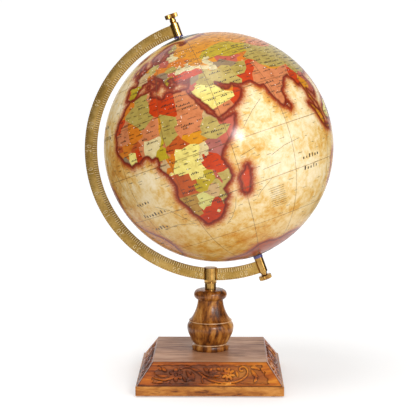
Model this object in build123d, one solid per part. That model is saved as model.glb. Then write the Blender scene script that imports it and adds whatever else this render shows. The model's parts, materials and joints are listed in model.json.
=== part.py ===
"""Desktop globe on a carved wooden stand, one STEP file per piece.

Frame: +Z up, +X to the right, +Y to the rear.  The origin is on the table
under the axis of the turned column.  Units are millimetres.
"""
from build123d import *
import os
from math import cos, sin, sqrt, radians

os.makedirs("parts", exist_ok=True)

# ---- globe and its axis -------------------------------------------------
BALL_RADIUS = 152.4
SHELL_WALL = 2.5
BALL_X = 10.7
BALL_Z = 316.0
AXIS_TILT = 19.87
POLE_HOLE_RADIUS = 6.0

# ---- graduated arc ------------------------------------------------------
ARC_INNER = 159.0
ARC_OUTER = 175.5
ARC_THICKNESS = 3.0
# The arc's centre, in the ball's own frame: the ball hangs a little off it.
ARC_SIDE_SHIFT = -4.0
ARC_SOUTH_SHIFT = -3.0

# ---- base ---------------------------------------------------------------
FOOT_HEIGHT = 2.0
FOOT_RADIUS = 8.0
FOOT_OFFSET = 82.0
PLINTH_SIDE = 192.0
PLINTH_HEIGHT = 12.0
BLOCK_LOWER_SIDE = 188.0
BLOCK_UPPER_SIDE = 148.0
BLOCK_HEIGHT = 28.0
WOOD_SCREW_OFFSET = 60.0

# ---- column and post ----------------------------------------------------
COLUMN_HEIGHT = 82.0
POST_RADIUS = 9.0
POST_WAIST_RADIUS = 8.0
POST_NECK_RADIUS = 7.6
BEAD_RADIUS = 8.4
SLOT_WIDTH = 3.2
CLAMP_RADIUS = 2.0

# ---- pivot screws and barrels, as distances from the ball's centre -------
BARREL_RADIUS = 5.9
UPPER_BARREL_START = 155.9
UPPER_BARREL_END = 173.4
LOWER_BARREL_START = 158.0
LOWER_BARREL_END = 178.5
SPACER_RADIUS = 6.3
SPACER_START = 153.9
SHANK_RADIUS = 4.3
TIP_RADIUS = 2.5
TIP_START = 142.0
TIP_END = 154.0
RUNNING_FIT = 0.05
HEAD_RADIUS = 8.5
HEAD_THICKNESS = 5.6
UPPER_HEAD_START = 180.8
LOWER_HEAD_START = 183.2

# ---- pole caps and inner bushes ------------------------------------------
CAP_RADIUS = 27.0
CAP_CROWN = 153.5
CAP_EDGE = 0.3
BUSH_FLANGE_RADIUS = 12.0
BUSH_FLANGE_TOP = 149.4
BUSH_FLANGE_THICKNESS = 3.0
BUSH_BOTTOM = 141.0
BUSH_TOP = 152.0

# ---- tie bolt --------------------------------------------------------------
BOLT_RADIUS = 3.0
BOLT_CLEARANCE_RADIUS = 3.3
COUNTERBORE_RADIUS = 10.0
COUNTERBORE_DEPTH = 7.0
WASHER_THICKNESS = 1.5
BOLT_HEAD_FLATS = 10.0
BOLT_HEAD_HEIGHT = 4.0

# ---- levels that follow from the sizes above ---------------------------------
PLINTH_BOTTOM = FOOT_HEIGHT
BLOCK_BOTTOM = PLINTH_BOTTOM + PLINTH_HEIGHT
BASE_TOP = BLOCK_BOTTOM + BLOCK_HEIGHT
COLUMN_TOP = BASE_TOP + COLUMN_HEIGHT
POST_BEAD = COLUMN_TOP + 8.6
POST_BARREL = POST_BEAD + 2.0
SLOT_FLOOR = POST_BARREL + 0.2
BOLT_TOP = COLUMN_TOP + 7.0

# The ball's own frame: its Z is the globe's axis, north up.
GLOBE_FRAME = Pos(BALL_X, 0, BALL_Z) * Rot(0, -AXIS_TILT, 0)
SOUTH = Rot(180, 0, 0)
ARC_FRAME = GLOBE_FRAME * Pos(ARC_SIDE_SHIFT, 0, ARC_SOUTH_SHIFT)
ARC_X = ARC_FRAME.position.X
ARC_Z = ARC_FRAME.position.Z
ARC_MIDDLE = (ARC_INNER + ARC_OUTER) / 2
CLAMP_Z = ARC_Z - sqrt(ARC_MIDDLE ** 2 - ARC_X ** 2)
POST_TOP = ARC_Z - ARC_INNER + 1.2


def save(shape, node):
    """Write one piece to its STEP file."""
    export_step(shape, f"parts/{node}.step")
    print(f"{node:20s} {shape.volume / 1000:9.2f} cm3")


def rod(radius, start, end):
    """A solid cylinder on the Z axis between two heights."""
    return Pos(0, 0, start) * Cylinder(
        radius, end - start, align=(Align.CENTER, Align.CENTER, Align.MIN)
    )


def slab(side, start, end):
    """A square slab on the Z axis between two heights."""
    return Pos(0, 0, start) * Box(
        side, side, end - start, align=(Align.CENTER, Align.CENTER, Align.MIN)
    )


def turned(outline):
    """Revolve a closed outline in the XZ plane about the Z axis."""
    face = Plane.XZ * make_face(outline)
    return revolve(face, Axis.Z)


# ---- tie bolt, washer and wood screws --------------------------------------------
washer_top = PLINTH_BOTTOM + COUNTERBORE_DEPTH
washer_bottom = washer_top - WASHER_THICKNESS
tie_bolt_washer = rod(9.0, washer_bottom, washer_top)
tie_bolt_washer -= rod(BOLT_CLEARANCE_RADIUS, washer_bottom, washer_top)

hexagon = RegularPolygon(BOLT_HEAD_FLATS / 2, 6, major_radius=False)
bolt_head = Pos(0, 0, washer_bottom - BOLT_HEAD_HEIGHT) * extrude(
    hexagon, BOLT_HEAD_HEIGHT
)
tie_bolt = bolt_head + rod(BOLT_RADIUS, washer_bottom, BOLT_TOP)

wood_screw_outline = Polyline(
    (0, PLINTH_BOTTOM + 0.4),
    (4.0, PLINTH_BOTTOM + 0.4),
    (4.0, PLINTH_BOTTOM + 0.9),
    (2.0, PLINTH_BOTTOM + 2.9),
    (2.0, BLOCK_BOTTOM + 13.0),
    (0, BLOCK_BOTTOM + 17.0),
    (0, PLINTH_BOTTOM + 0.4),
)
wood_screw = turned(wood_screw_outline)
wood_screws = []
for x_sign in (-1, 1):
    for y_sign in (-1, 1):
        place = Pos(x_sign * WOOD_SCREW_OFFSET, y_sign * WOOD_SCREW_OFFSET, 0)
        wood_screws.append(place * wood_screw)
countersinks = rod(4.0, PLINTH_BOTTOM, PLINTH_BOTTOM + 0.4)

# ---- plinth and carved block --------------------------------------------------------
base_plinth = slab(PLINTH_SIDE, PLINTH_BOTTOM, BLOCK_BOTTOM)
base_plinth = fillet(base_plinth.edges().filter_by(Axis.Z), 2.0)
base_plinth = fillet(base_plinth.edges().group_by(Axis.Z)[-1], 1.0)
base_plinth -= rod(COUNTERBORE_RADIUS, PLINTH_BOTTOM, washer_top)
base_plinth -= rod(BOLT_CLEARANCE_RADIUS, washer_top, BLOCK_BOTTOM)

block_foot = Pos(0, 0, BLOCK_BOTTOM) * Rectangle(BLOCK_LOWER_SIDE, BLOCK_LOWER_SIDE)
block_head = Pos(0, 0, BASE_TOP) * Rectangle(BLOCK_UPPER_SIDE, BLOCK_UPPER_SIDE)
base_block = loft(Sketch() + [block_foot, block_head])
base_block = fillet(base_block.edges().group_by(Axis.Z)[-1], 1.5)
base_block -= rod(BOLT_CLEARANCE_RADIUS, BLOCK_BOTTOM, BASE_TOP)

for screw in wood_screws:
    base_plinth -= screw
    base_plinth -= Pos(screw.center().X, screw.center().Y, 0) * countersinks
    base_block -= screw

# ---- feet -------------------------------------------------------------------------
foot = rod(FOOT_RADIUS, 0, FOOT_HEIGHT)
foot = fillet(foot.edges().group_by(Axis.Z)[0], 0.5)
FOOT_PLACES = {
    "foot_front_left": (-FOOT_OFFSET, -FOOT_OFFSET),
    "foot_front_right": (FOOT_OFFSET, -FOOT_OFFSET),
    "foot_rear_left": (-FOOT_OFFSET, FOOT_OFFSET),
    "foot_rear_right": (FOOT_OFFSET, FOOT_OFFSET),
}

# ---- turned column, outline as radius and height above the base --------------------------
foot_ring = ThreePointArc((24.2, 0), (25.1, 3.7), (24.2, 7.4))
cove = ThreePointArc((22.9, 7.4), (22.2, 8.6), (22.9, 9.8))
bulb = Spline((22.9, 9.8), (27.2, 17.0), (30.8, 25.5), (31.4, 32.0), (28.8, 38.0))
bell = Spline((28.9, 40.6), (24.2, 45.2), (21.2, 51.0), (18.4, 58.5), (16.9, 68.6))
collar = ThreePointArc((17.7, 69.0), (22.2, 75.5), (17.7, COLUMN_HEIGHT))
column_outline = [
    Line((0, 0), foot_ring @ 0),
    foot_ring,
    Line(foot_ring @ 1, cove @ 0),
    cove,
    bulb,
    Polyline(bulb @ 1, (27.6, 38.2), (27.6, 39.0), (28.9, 39.2), bell @ 0),
    bell,
    Line(bell @ 1, collar @ 0),
    collar,
    Line(collar @ 1, (0, COLUMN_HEIGHT)),
    Line((0, COLUMN_HEIGHT), (0, 0)),
]
turned_column = Pos(0, 0, BASE_TOP) * turned(column_outline)
turned_column -= rod(BOLT_CLEARANCE_RADIUS, BASE_TOP, COLUMN_TOP)

# ---- slotted post and its clamp screw -------------------------------------------------
bead = ThreePointArc(
    (POST_NECK_RADIUS, POST_BEAD),
    (BEAD_RADIUS, (POST_BEAD + POST_BARREL) / 2),
    (POST_WAIST_RADIUS, POST_BARREL),
)
post_outline = [
    Polyline((0, COLUMN_TOP), (POST_NECK_RADIUS, COLUMN_TOP), bead @ 0),
    bead,
    Polyline(
        bead @ 1,
        (POST_RADIUS, POST_BARREL + 3),
        (POST_RADIUS, POST_TOP - 0.6),
        (POST_RADIUS - 0.6, POST_TOP),
        (0, POST_TOP),
        (0, COLUMN_TOP),
    ),
]
socket_post = turned(post_outline)
socket_post -= rod(BOLT_RADIUS + 0.02, COLUMN_TOP, BOLT_TOP + 0.5)
slot_height = POST_TOP - SLOT_FLOOR
socket_post -= Pos(0, 0, SLOT_FLOOR + slot_height / 2) * Box(30, SLOT_WIDTH, slot_height)

# The clamp's own frame: its Z points to the rear, through both cheeks.
CLAMP_FRAME = Pos(0, 0, CLAMP_Z) * Rot(-90, 0, 0)
CLAMP_SEAT = 7.0
CLAMP_END = -6.0
CLAMP_HEAD_RADIUS = 3.6
CLAMP_HEAD_HEIGHT = 2.4
arc_clamp_screw = rod(CLAMP_RADIUS, CLAMP_END, CLAMP_SEAT)
arc_clamp_screw += rod(CLAMP_HEAD_RADIUS, CLAMP_SEAT, CLAMP_SEAT + CLAMP_HEAD_HEIGHT)
arc_clamp_screw -= Pos(0, 0, CLAMP_SEAT + CLAMP_HEAD_HEIGHT) * Box(10, 0.9, 2.0)
arc_clamp_screw = CLAMP_FRAME * arc_clamp_screw
socket_post -= CLAMP_FRAME * rod(CLAMP_RADIUS + 0.02, CLAMP_END - 0.5, POST_RADIUS)
socket_post -= CLAMP_FRAME * rod(CLAMP_HEAD_RADIUS + 0.3, CLAMP_SEAT, POST_RADIUS + 1)

# ---- graduated arc with its two barrels ----------------------------------------------
ring_face = Circle(ARC_OUTER) - Circle(ARC_INNER)
arc_ring = ARC_FRAME * extrude(Plane.XZ * ring_face, ARC_THICKNESS / 2, both=True)
arc_ring -= GLOBE_FRAME * rod(BARREL_RADIUS, -ARC_OUTER - 20, ARC_OUTER + 20)
beyond_axis = Pos(ARC_OUTER, 0, 0) * Box(2 * ARC_OUTER, 20, 4 * ARC_OUTER)
arc_ring -= GLOBE_FRAME * beyond_axis
meridian_arc = arc_ring
meridian_arc -= CLAMP_FRAME * rod(CLAMP_RADIUS + RUNNING_FIT, -10, 10)


def barrel(start, end):
    """Tube that carries a pivot screw, let into one end of the arc."""
    tube = rod(BARREL_RADIUS, start, end)
    return tube - rod(SHANK_RADIUS + RUNNING_FIT, start, end)


def spacer(end):
    """Plastic collar between the ball's pole and a barrel."""
    collar_body = rod(SPACER_RADIUS, SPACER_START, end)
    collar_body = fillet(collar_body.edges().group_by(Axis.Z)[0], 0.8)
    return collar_body - rod(SHANK_RADIUS + RUNNING_FIT, SPACER_START, end)


def pivot_screw(head_start):
    """Thumb screw: reduced tip, plain shank and a broad round head."""
    head = rod(HEAD_RADIUS, head_start, head_start + HEAD_THICKNESS)
    head = chamfer(head.edges().filter_by(GeomType.CIRCLE), 0.5)
    tip = rod(TIP_RADIUS, TIP_START, TIP_END)
    tip = chamfer(tip.edges().group_by(Axis.Z)[0], 0.5)
    return head + rod(SHANK_RADIUS, TIP_END, head_start) + tip


# ---- ball: two shells, equator ring, bushes and pole caps -------------------------------------
shell = Sphere(BALL_RADIUS) - Sphere(BALL_RADIUS - SHELL_WALL)
upper_half = slab(4 * BALL_RADIUS, 0, 2 * BALL_RADIUS)
hemisphere = (shell & upper_half) - rod(POLE_HOLE_RADIUS, 100, 200)

RING_HALF_WIDTH = 8.0
RING_OUTER = 149.6
RING_WALL = 1.2
equator_ring = rod(RING_OUTER, -RING_HALF_WIDTH, RING_HALF_WIDTH)
equator_ring -= rod(RING_OUTER - RING_WALL, -RING_HALF_WIDTH, RING_HALF_WIDTH)

bush = rod(BUSH_FLANGE_RADIUS, BUSH_FLANGE_TOP - BUSH_FLANGE_THICKNESS, BUSH_FLANGE_TOP)
bush += rod(POLE_HOLE_RADIUS, BUSH_BOTTOM, BUSH_TOP)
bush -= rod(TIP_RADIUS + RUNNING_FIT, BUSH_BOTTOM, BUSH_TOP)

cap_hole = TIP_RADIUS + 0.4
cap_rim_z = sqrt(BALL_RADIUS ** 2 - CAP_RADIUS ** 2)
cap_rise = CAP_CROWN - cap_rim_z - CAP_EDGE
cap_dome_radius = (CAP_RADIUS ** 2 + cap_rise ** 2) / (2 * cap_rise)


def dome_height(radius):
    """Height of the cap's outer face at a given distance from the axis."""
    return CAP_CROWN - cap_dome_radius + sqrt(cap_dome_radius ** 2 - radius ** 2)


def ball_height(radius):
    """Height of the ball's face at a given distance from the axis."""
    return sqrt(BALL_RADIUS ** 2 - radius ** 2)


cap_middle = CAP_RADIUS / 2
cap_inside = ThreePointArc(
    (cap_hole, ball_height(cap_hole)),
    (cap_middle, ball_height(cap_middle)),
    (CAP_RADIUS, cap_rim_z),
)
cap_outside = ThreePointArc(
    (CAP_RADIUS, dome_height(CAP_RADIUS)),
    (cap_middle, dome_height(cap_middle)),
    (cap_hole, dome_height(cap_hole)),
)
pole_cap = turned([
    cap_inside,
    Line(cap_inside @ 1, cap_outside @ 0),
    cap_outside,
    Line(cap_outside @ 1, cap_inside @ 0),
])

# ---- write every piece --------------------------------------------------------------------
save(base_plinth, "base_plinth")
save(base_block, "base_block")
for node, (x, y) in FOOT_PLACES.items():
    save(Pos(x, y, 0) * foot, node)
save(Compound(children=wood_screws), "plinth_screws")
save(turned_column, "turned_column")
save(tie_bolt, "tie_bolt")
save(tie_bolt_washer, "tie_bolt_washer")
save(socket_post, "socket_post")
save(arc_clamp_screw, "arc_clamp_screw")
save(meridian_arc, "meridian_arc")
save(GLOBE_FRAME * barrel(UPPER_BARREL_START, UPPER_BARREL_END), "upper_barrel")
save(GLOBE_FRAME * SOUTH * barrel(LOWER_BARREL_START, LOWER_BARREL_END), "lower_barrel")
save(GLOBE_FRAME * spacer(UPPER_BARREL_START), "upper_spacer")
save(GLOBE_FRAME * SOUTH * spacer(LOWER_BARREL_START), "lower_spacer")
save(GLOBE_FRAME * pivot_screw(UPPER_HEAD_START), "upper_pivot_screw")
save(GLOBE_FRAME * SOUTH * pivot_screw(LOWER_HEAD_START), "lower_pivot_screw")
save(GLOBE_FRAME * hemisphere, "north_hemisphere")
save(GLOBE_FRAME * SOUTH * hemisphere, "south_hemisphere")
save(GLOBE_FRAME * equator_ring, "equator_ring")
save(GLOBE_FRAME * bush, "north_bush")
save(GLOBE_FRAME * SOUTH * bush, "south_bush")
save(GLOBE_FRAME * pole_cap, "north_pole_cap")
save(GLOBE_FRAME * SOUTH * pole_cap, "south_pole_cap")

axis_x = -sin(radians(AXIS_TILT))
axis_z = cos(radians(AXIS_TILT))
print(f"ball centre ({BALL_X}, 0, {BALL_Z}), north ({axis_x:.5f}, 0, {axis_z:.5f})")
print(f"clamp screw axis at z {CLAMP_Z:.3f}")
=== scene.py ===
import json
import math
import random

import bpy
import numpy as np
from mathutils import Matrix, Vector, geometry, kdtree


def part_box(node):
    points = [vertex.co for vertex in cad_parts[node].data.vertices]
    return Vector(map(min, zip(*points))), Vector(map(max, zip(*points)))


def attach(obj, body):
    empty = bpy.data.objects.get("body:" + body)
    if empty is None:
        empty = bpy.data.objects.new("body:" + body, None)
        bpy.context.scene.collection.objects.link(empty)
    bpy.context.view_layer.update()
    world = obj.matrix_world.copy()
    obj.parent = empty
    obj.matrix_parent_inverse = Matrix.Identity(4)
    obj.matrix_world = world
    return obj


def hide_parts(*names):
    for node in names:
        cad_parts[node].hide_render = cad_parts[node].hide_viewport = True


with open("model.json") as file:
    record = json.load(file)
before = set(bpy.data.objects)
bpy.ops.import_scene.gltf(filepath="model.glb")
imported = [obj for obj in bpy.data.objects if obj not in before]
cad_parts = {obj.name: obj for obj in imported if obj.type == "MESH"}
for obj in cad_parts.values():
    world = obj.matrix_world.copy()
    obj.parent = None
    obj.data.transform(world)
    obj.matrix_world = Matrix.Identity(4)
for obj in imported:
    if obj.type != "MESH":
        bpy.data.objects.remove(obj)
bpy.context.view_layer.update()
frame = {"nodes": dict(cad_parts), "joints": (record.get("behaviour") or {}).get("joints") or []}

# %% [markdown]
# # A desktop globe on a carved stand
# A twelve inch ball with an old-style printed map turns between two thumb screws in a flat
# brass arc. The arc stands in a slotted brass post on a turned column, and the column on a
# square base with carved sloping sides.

MM = 0.001

# %% [markdown]
# ## Where the globe's axis runs
# Everything on the ball and the arc is built upright round the Z axis, as on a workbench,
# and then leaned over together.  The lean and the ball's centre come from the solid model:
# the axis is that of the joint that lets the ball spin.

# %% The leaning frame
spin_joint = next(j for j in frame["joints"] if j["name"] == "globe_spin")
BALL_CENTRE = Vector(spin_joint["pos_m"])
NORTH = Vector(spin_joint["axis"]).normalized()
AXIS_TILT = math.atan2(-NORTH.x, NORTH.z)
LEAN = Matrix.Translation(BALL_CENTRE) @ Matrix.Rotation(-AXIS_TILT, 4, "Y")
TURNED_OVER = Matrix.Rotation(math.pi, 4, "X")
print("axis leans", round(math.degrees(AXIS_TILT), 2), "degrees")


# %% Small helpers for working as by hand
def pick_nothing():
    """Leave edit mode and deselect every object."""
    if bpy.context.object and bpy.context.object.mode != "OBJECT":
        bpy.ops.object.mode_set(mode="OBJECT")
    bpy.ops.object.select_all(action="DESELECT")


def pick(piece):
    """Make one piece the only selected and active object."""
    pick_nothing()
    piece.select_set(True)
    bpy.context.view_layer.objects.active = piece


def open_up(piece):
    """Enter a piece's edit mode with all of it selected."""
    pick(piece)
    bpy.ops.object.mode_set(mode="EDIT")
    bpy.ops.mesh.select_all(action="SELECT")


def settle(piece, place=None):
    """Put the object's own place, and a further one, into its mesh."""
    pick(piece)
    bpy.ops.object.transform_apply(location=True, rotation=True, scale=True)
    if place is not None:
        piece.data.transform(place)
    piece.data.update()
    return piece


def merge_and_face_out(piece, gap=0.00001):
    """Merge doubled points and turn every face outwards."""
    open_up(piece)
    bpy.ops.mesh.remove_doubles(threshold=gap)
    bpy.ops.mesh.normals_make_consistent(inside=False)
    bpy.ops.object.mode_set(mode="OBJECT")


def join_all(pieces, name):
    """Join several pieces into one object with a new name."""
    pick_nothing()
    for piece in pieces:
        piece.select_set(True)
    bpy.context.view_layer.objects.active = pieces[0]
    if len(pieces) > 1:
        bpy.ops.object.join()
    pieces[0].name = name
    pieces[0].data.name = name
    return pieces[0]


def piece_from(name, points, faces):
    """A new piece from worked-out points, for shapes that no primitive is near."""
    mesh = bpy.data.meshes.new(name)
    mesh.from_pydata(points, [], faces)
    piece = bpy.data.objects.new(name, mesh)
    bpy.context.collection.objects.link(piece)
    return piece


def store_values(mesh, name, values, domain="POINT"):
    """Keep one number for each point or corner, under a name that a finish can read."""
    layer = mesh.attributes.new(name, "FLOAT", domain)
    layer.data.foreach_set("value", values.astype(np.float32))


def turn_on_lathe(name, profile, sides=96, place=None, sharp=32):
    """Turn a closed round piece: each step of the profile is (radius, height) in mm."""
    pick_nothing()
    radius, height = profile[0]
    bpy.ops.mesh.primitive_circle_add(
        vertices=sides, radius=radius * MM, fill_type="NGON", location=(0, 0, height * MM)
    )
    piece = bpy.context.object
    open_up(piece)
    for next_radius, next_height in profile[1:]:
        lift = (0, 0, (next_height - height) * MM)
        bpy.ops.mesh.extrude_region_move(TRANSFORM_OT_translate={"value": lift})
        grow = next_radius / radius
        bpy.ops.transform.resize(value=(grow, grow, 1))
        radius, height = next_radius, next_height
    bpy.ops.object.mode_set(mode="OBJECT")
    merge_and_face_out(piece)
    settle(piece, place)
    pick(piece)
    bpy.ops.object.shade_smooth_by_angle(angle=math.radians(sharp))
    piece.name = name
    piece.data.name = name
    return piece


def round_between(start, middle, end, steps=8):
    """Points of (radius, height) on the arc of a circle through three points."""
    (ax, ay), (bx, by), (cx, cy) = start, middle, end
    d = 2 * (ax * (by - cy) + bx * (cy - ay) + cx * (ay - by))
    aa, bb, cc = ax * ax + ay * ay, bx * bx + by * by, cx * cx + cy * cy
    ox = (aa * (by - cy) + bb * (cy - ay) + cc * (ay - by)) / d
    oy = (aa * (cx - bx) + bb * (ax - cx) + cc * (bx - ax)) / d
    r = math.hypot(ax - ox, ay - oy)
    a0 = math.atan2(ay - oy, ax - ox)
    a1 = math.atan2(by - oy, bx - ox)
    a2 = math.atan2(cy - oy, cx - ox)
    turn = (a2 - a0) % (2 * math.pi)
    if (a1 - a0) % (2 * math.pi) > turn:
        turn -= 2 * math.pi
    angles = [a0 + turn * i / steps for i in range(steps + 1)]
    return [(ox + r * math.cos(a), oy + r * math.sin(a)) for a in angles]


# %% [markdown]
# ## Finishes
# A finish is a small network of nodes.  Colour is written here as a designer would pick it
# on screen, and turned into the linear values that the shader works in.  Patterns read
# Object coordinates in metres, so a noise of scale 400 has details of two or three
# millimetres.

# %% Helpers for finishes
def screen_colour(text):
    """A linear RGBA colour from a six-figure screen colour."""
    parts = [int(text[i:i + 2], 16) / 255 for i in (0, 2, 4)]
    linear = [c / 12.92 if c <= 0.04045 else ((c + 0.055) / 1.055) ** 2.4 for c in parts]
    return (*linear, 1.0)


class Finish:
    """A material and the few node recipes that this object's finishes share."""

    def __init__(self, name):
        self.material = bpy.data.materials.new(name)
        self.material.use_nodes = True
        self.nodes = self.material.node_tree.nodes
        self.links = self.material.node_tree.links
        self.shader = self.nodes["Principled BSDF"]

    def node(self, kind, **settings):
        """Any node, with its own settings."""
        made = self.nodes.new(kind)
        for key, value in settings.items():
            setattr(made, key, value)
        return made

    def link(self, source, target):
        self.links.new(source, target)

    def fixed(self, **values):
        """Set the shader's own sockets."""
        for key, value in values.items():
            self.shader.inputs[key.replace("_", " ")].default_value = value

    def place(self, scale=(1, 1, 1), turn=(0, 0, 0)):
        """Object coordinates, stretched and turned."""
        coordinates = self.node("ShaderNodeTexCoord")
        mapping = self.node("ShaderNodeMapping")
        mapping.inputs["Scale"].default_value = scale
        mapping.inputs["Rotation"].default_value = turn
        self.link(coordinates.outputs["Object"], mapping.inputs["Vector"])
        return mapping.outputs["Vector"]

    def noise(self, where, scale, detail=4, rough=0.5, distortion=0.0):
        made = self.node("ShaderNodeTexNoise")
        made.inputs["Scale"].default_value = scale
        made.inputs["Detail"].default_value = detail
        made.inputs["Roughness"].default_value = rough
        made.inputs["Distortion"].default_value = distortion
        self.link(where, made.inputs["Vector"])
        return made.outputs["Fac"]

    def ramp(self, source, stops):
        """Colours along a value: each stop is (value, colour)."""
        made = self.node("ShaderNodeValToRGB")
        band = made.color_ramp
        while len(band.elements) < len(stops):
            band.elements.new(0.5)
        for element, (at, colour) in zip(band.elements, stops):
            element.position = at
            element.color = screen_colour(colour) if isinstance(colour, str) else colour
        self.link(source, made.inputs["Fac"])
        return made.outputs["Color"]

    def span(self, source, low, high, to_low=0.0, to_high=1.0):
        """Carry the values between low and high over to a new range."""
        made = self.node("ShaderNodeMapRange")
        made.inputs["From Min"].default_value = low
        made.inputs["From Max"].default_value = high
        made.inputs["To Min"].default_value = to_low
        made.inputs["To Max"].default_value = to_high
        self.link(source, made.inputs["Value"])
        return made.outputs["Result"]

    def maths(self, kind, first, second):
        """One step of arithmetic on numbers or on other nodes' values."""
        made = self.node("ShaderNodeMath", operation=kind)
        for socket, value in zip(made.inputs, (first, second)):
            if isinstance(value, (int, float)):
                socket.default_value = value
            else:
                self.link(value, socket)
        return made.outputs["Value"]

    def mix(self, factor, first, second, kind="MIX"):
        """Two colours together; sockets 6, 7 and 2 are the Mix node's colour ones."""
        made = self.node("ShaderNodeMix", data_type="RGBA", blend_type=kind)
        sockets = (made.inputs[0], made.inputs[6], made.inputs[7])
        for socket, value in zip(sockets, (factor, first, second)):
            if isinstance(value, str):
                socket.default_value = screen_colour(value)
            elif isinstance(value, (int, float)):
                socket.default_value = value
            else:
                self.link(value, socket)
        return made.outputs[2]

    def read(self, attribute, output="Fac"):
        """Values stored on the mesh."""
        return self.node("ShaderNodeAttribute", attribute_name=attribute).outputs[output]

    def bump(self, height, distance, strength=1.0):
        made = self.node("ShaderNodeBump")
        made.inputs["Distance"].default_value = distance
        made.inputs["Strength"].default_value = strength
        self.link(height, made.inputs["Height"])
        self.link(made.outputs["Normal"], self.shader.inputs["Normal"])

    def colour(self, source):
        self.link(source, self.shader.inputs["Base Color"])

    def roughness(self, source):
        self.link(source, self.shader.inputs["Roughness"])


def dress(piece, finish):
    """Give a piece one finish all over."""
    piece.data.materials.clear()
    piece.data.materials.append(finish.material)

# %% [markdown]
# ## The printed map
# On the real ball the map is printed paper under lacquer.  A map is flat areas of ink with
# crisp edges, so every coast and border is drawn as an outline in degrees of longitude and
# latitude, the sphere's skin is cut into triangles along all of them, and each triangle
# takes the ink of the country that it lies in.  Countries are drawn in painter's order:
# an outline may run over the sea or an earlier neighbour, because only land takes ink and
# the later outline wins.

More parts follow.
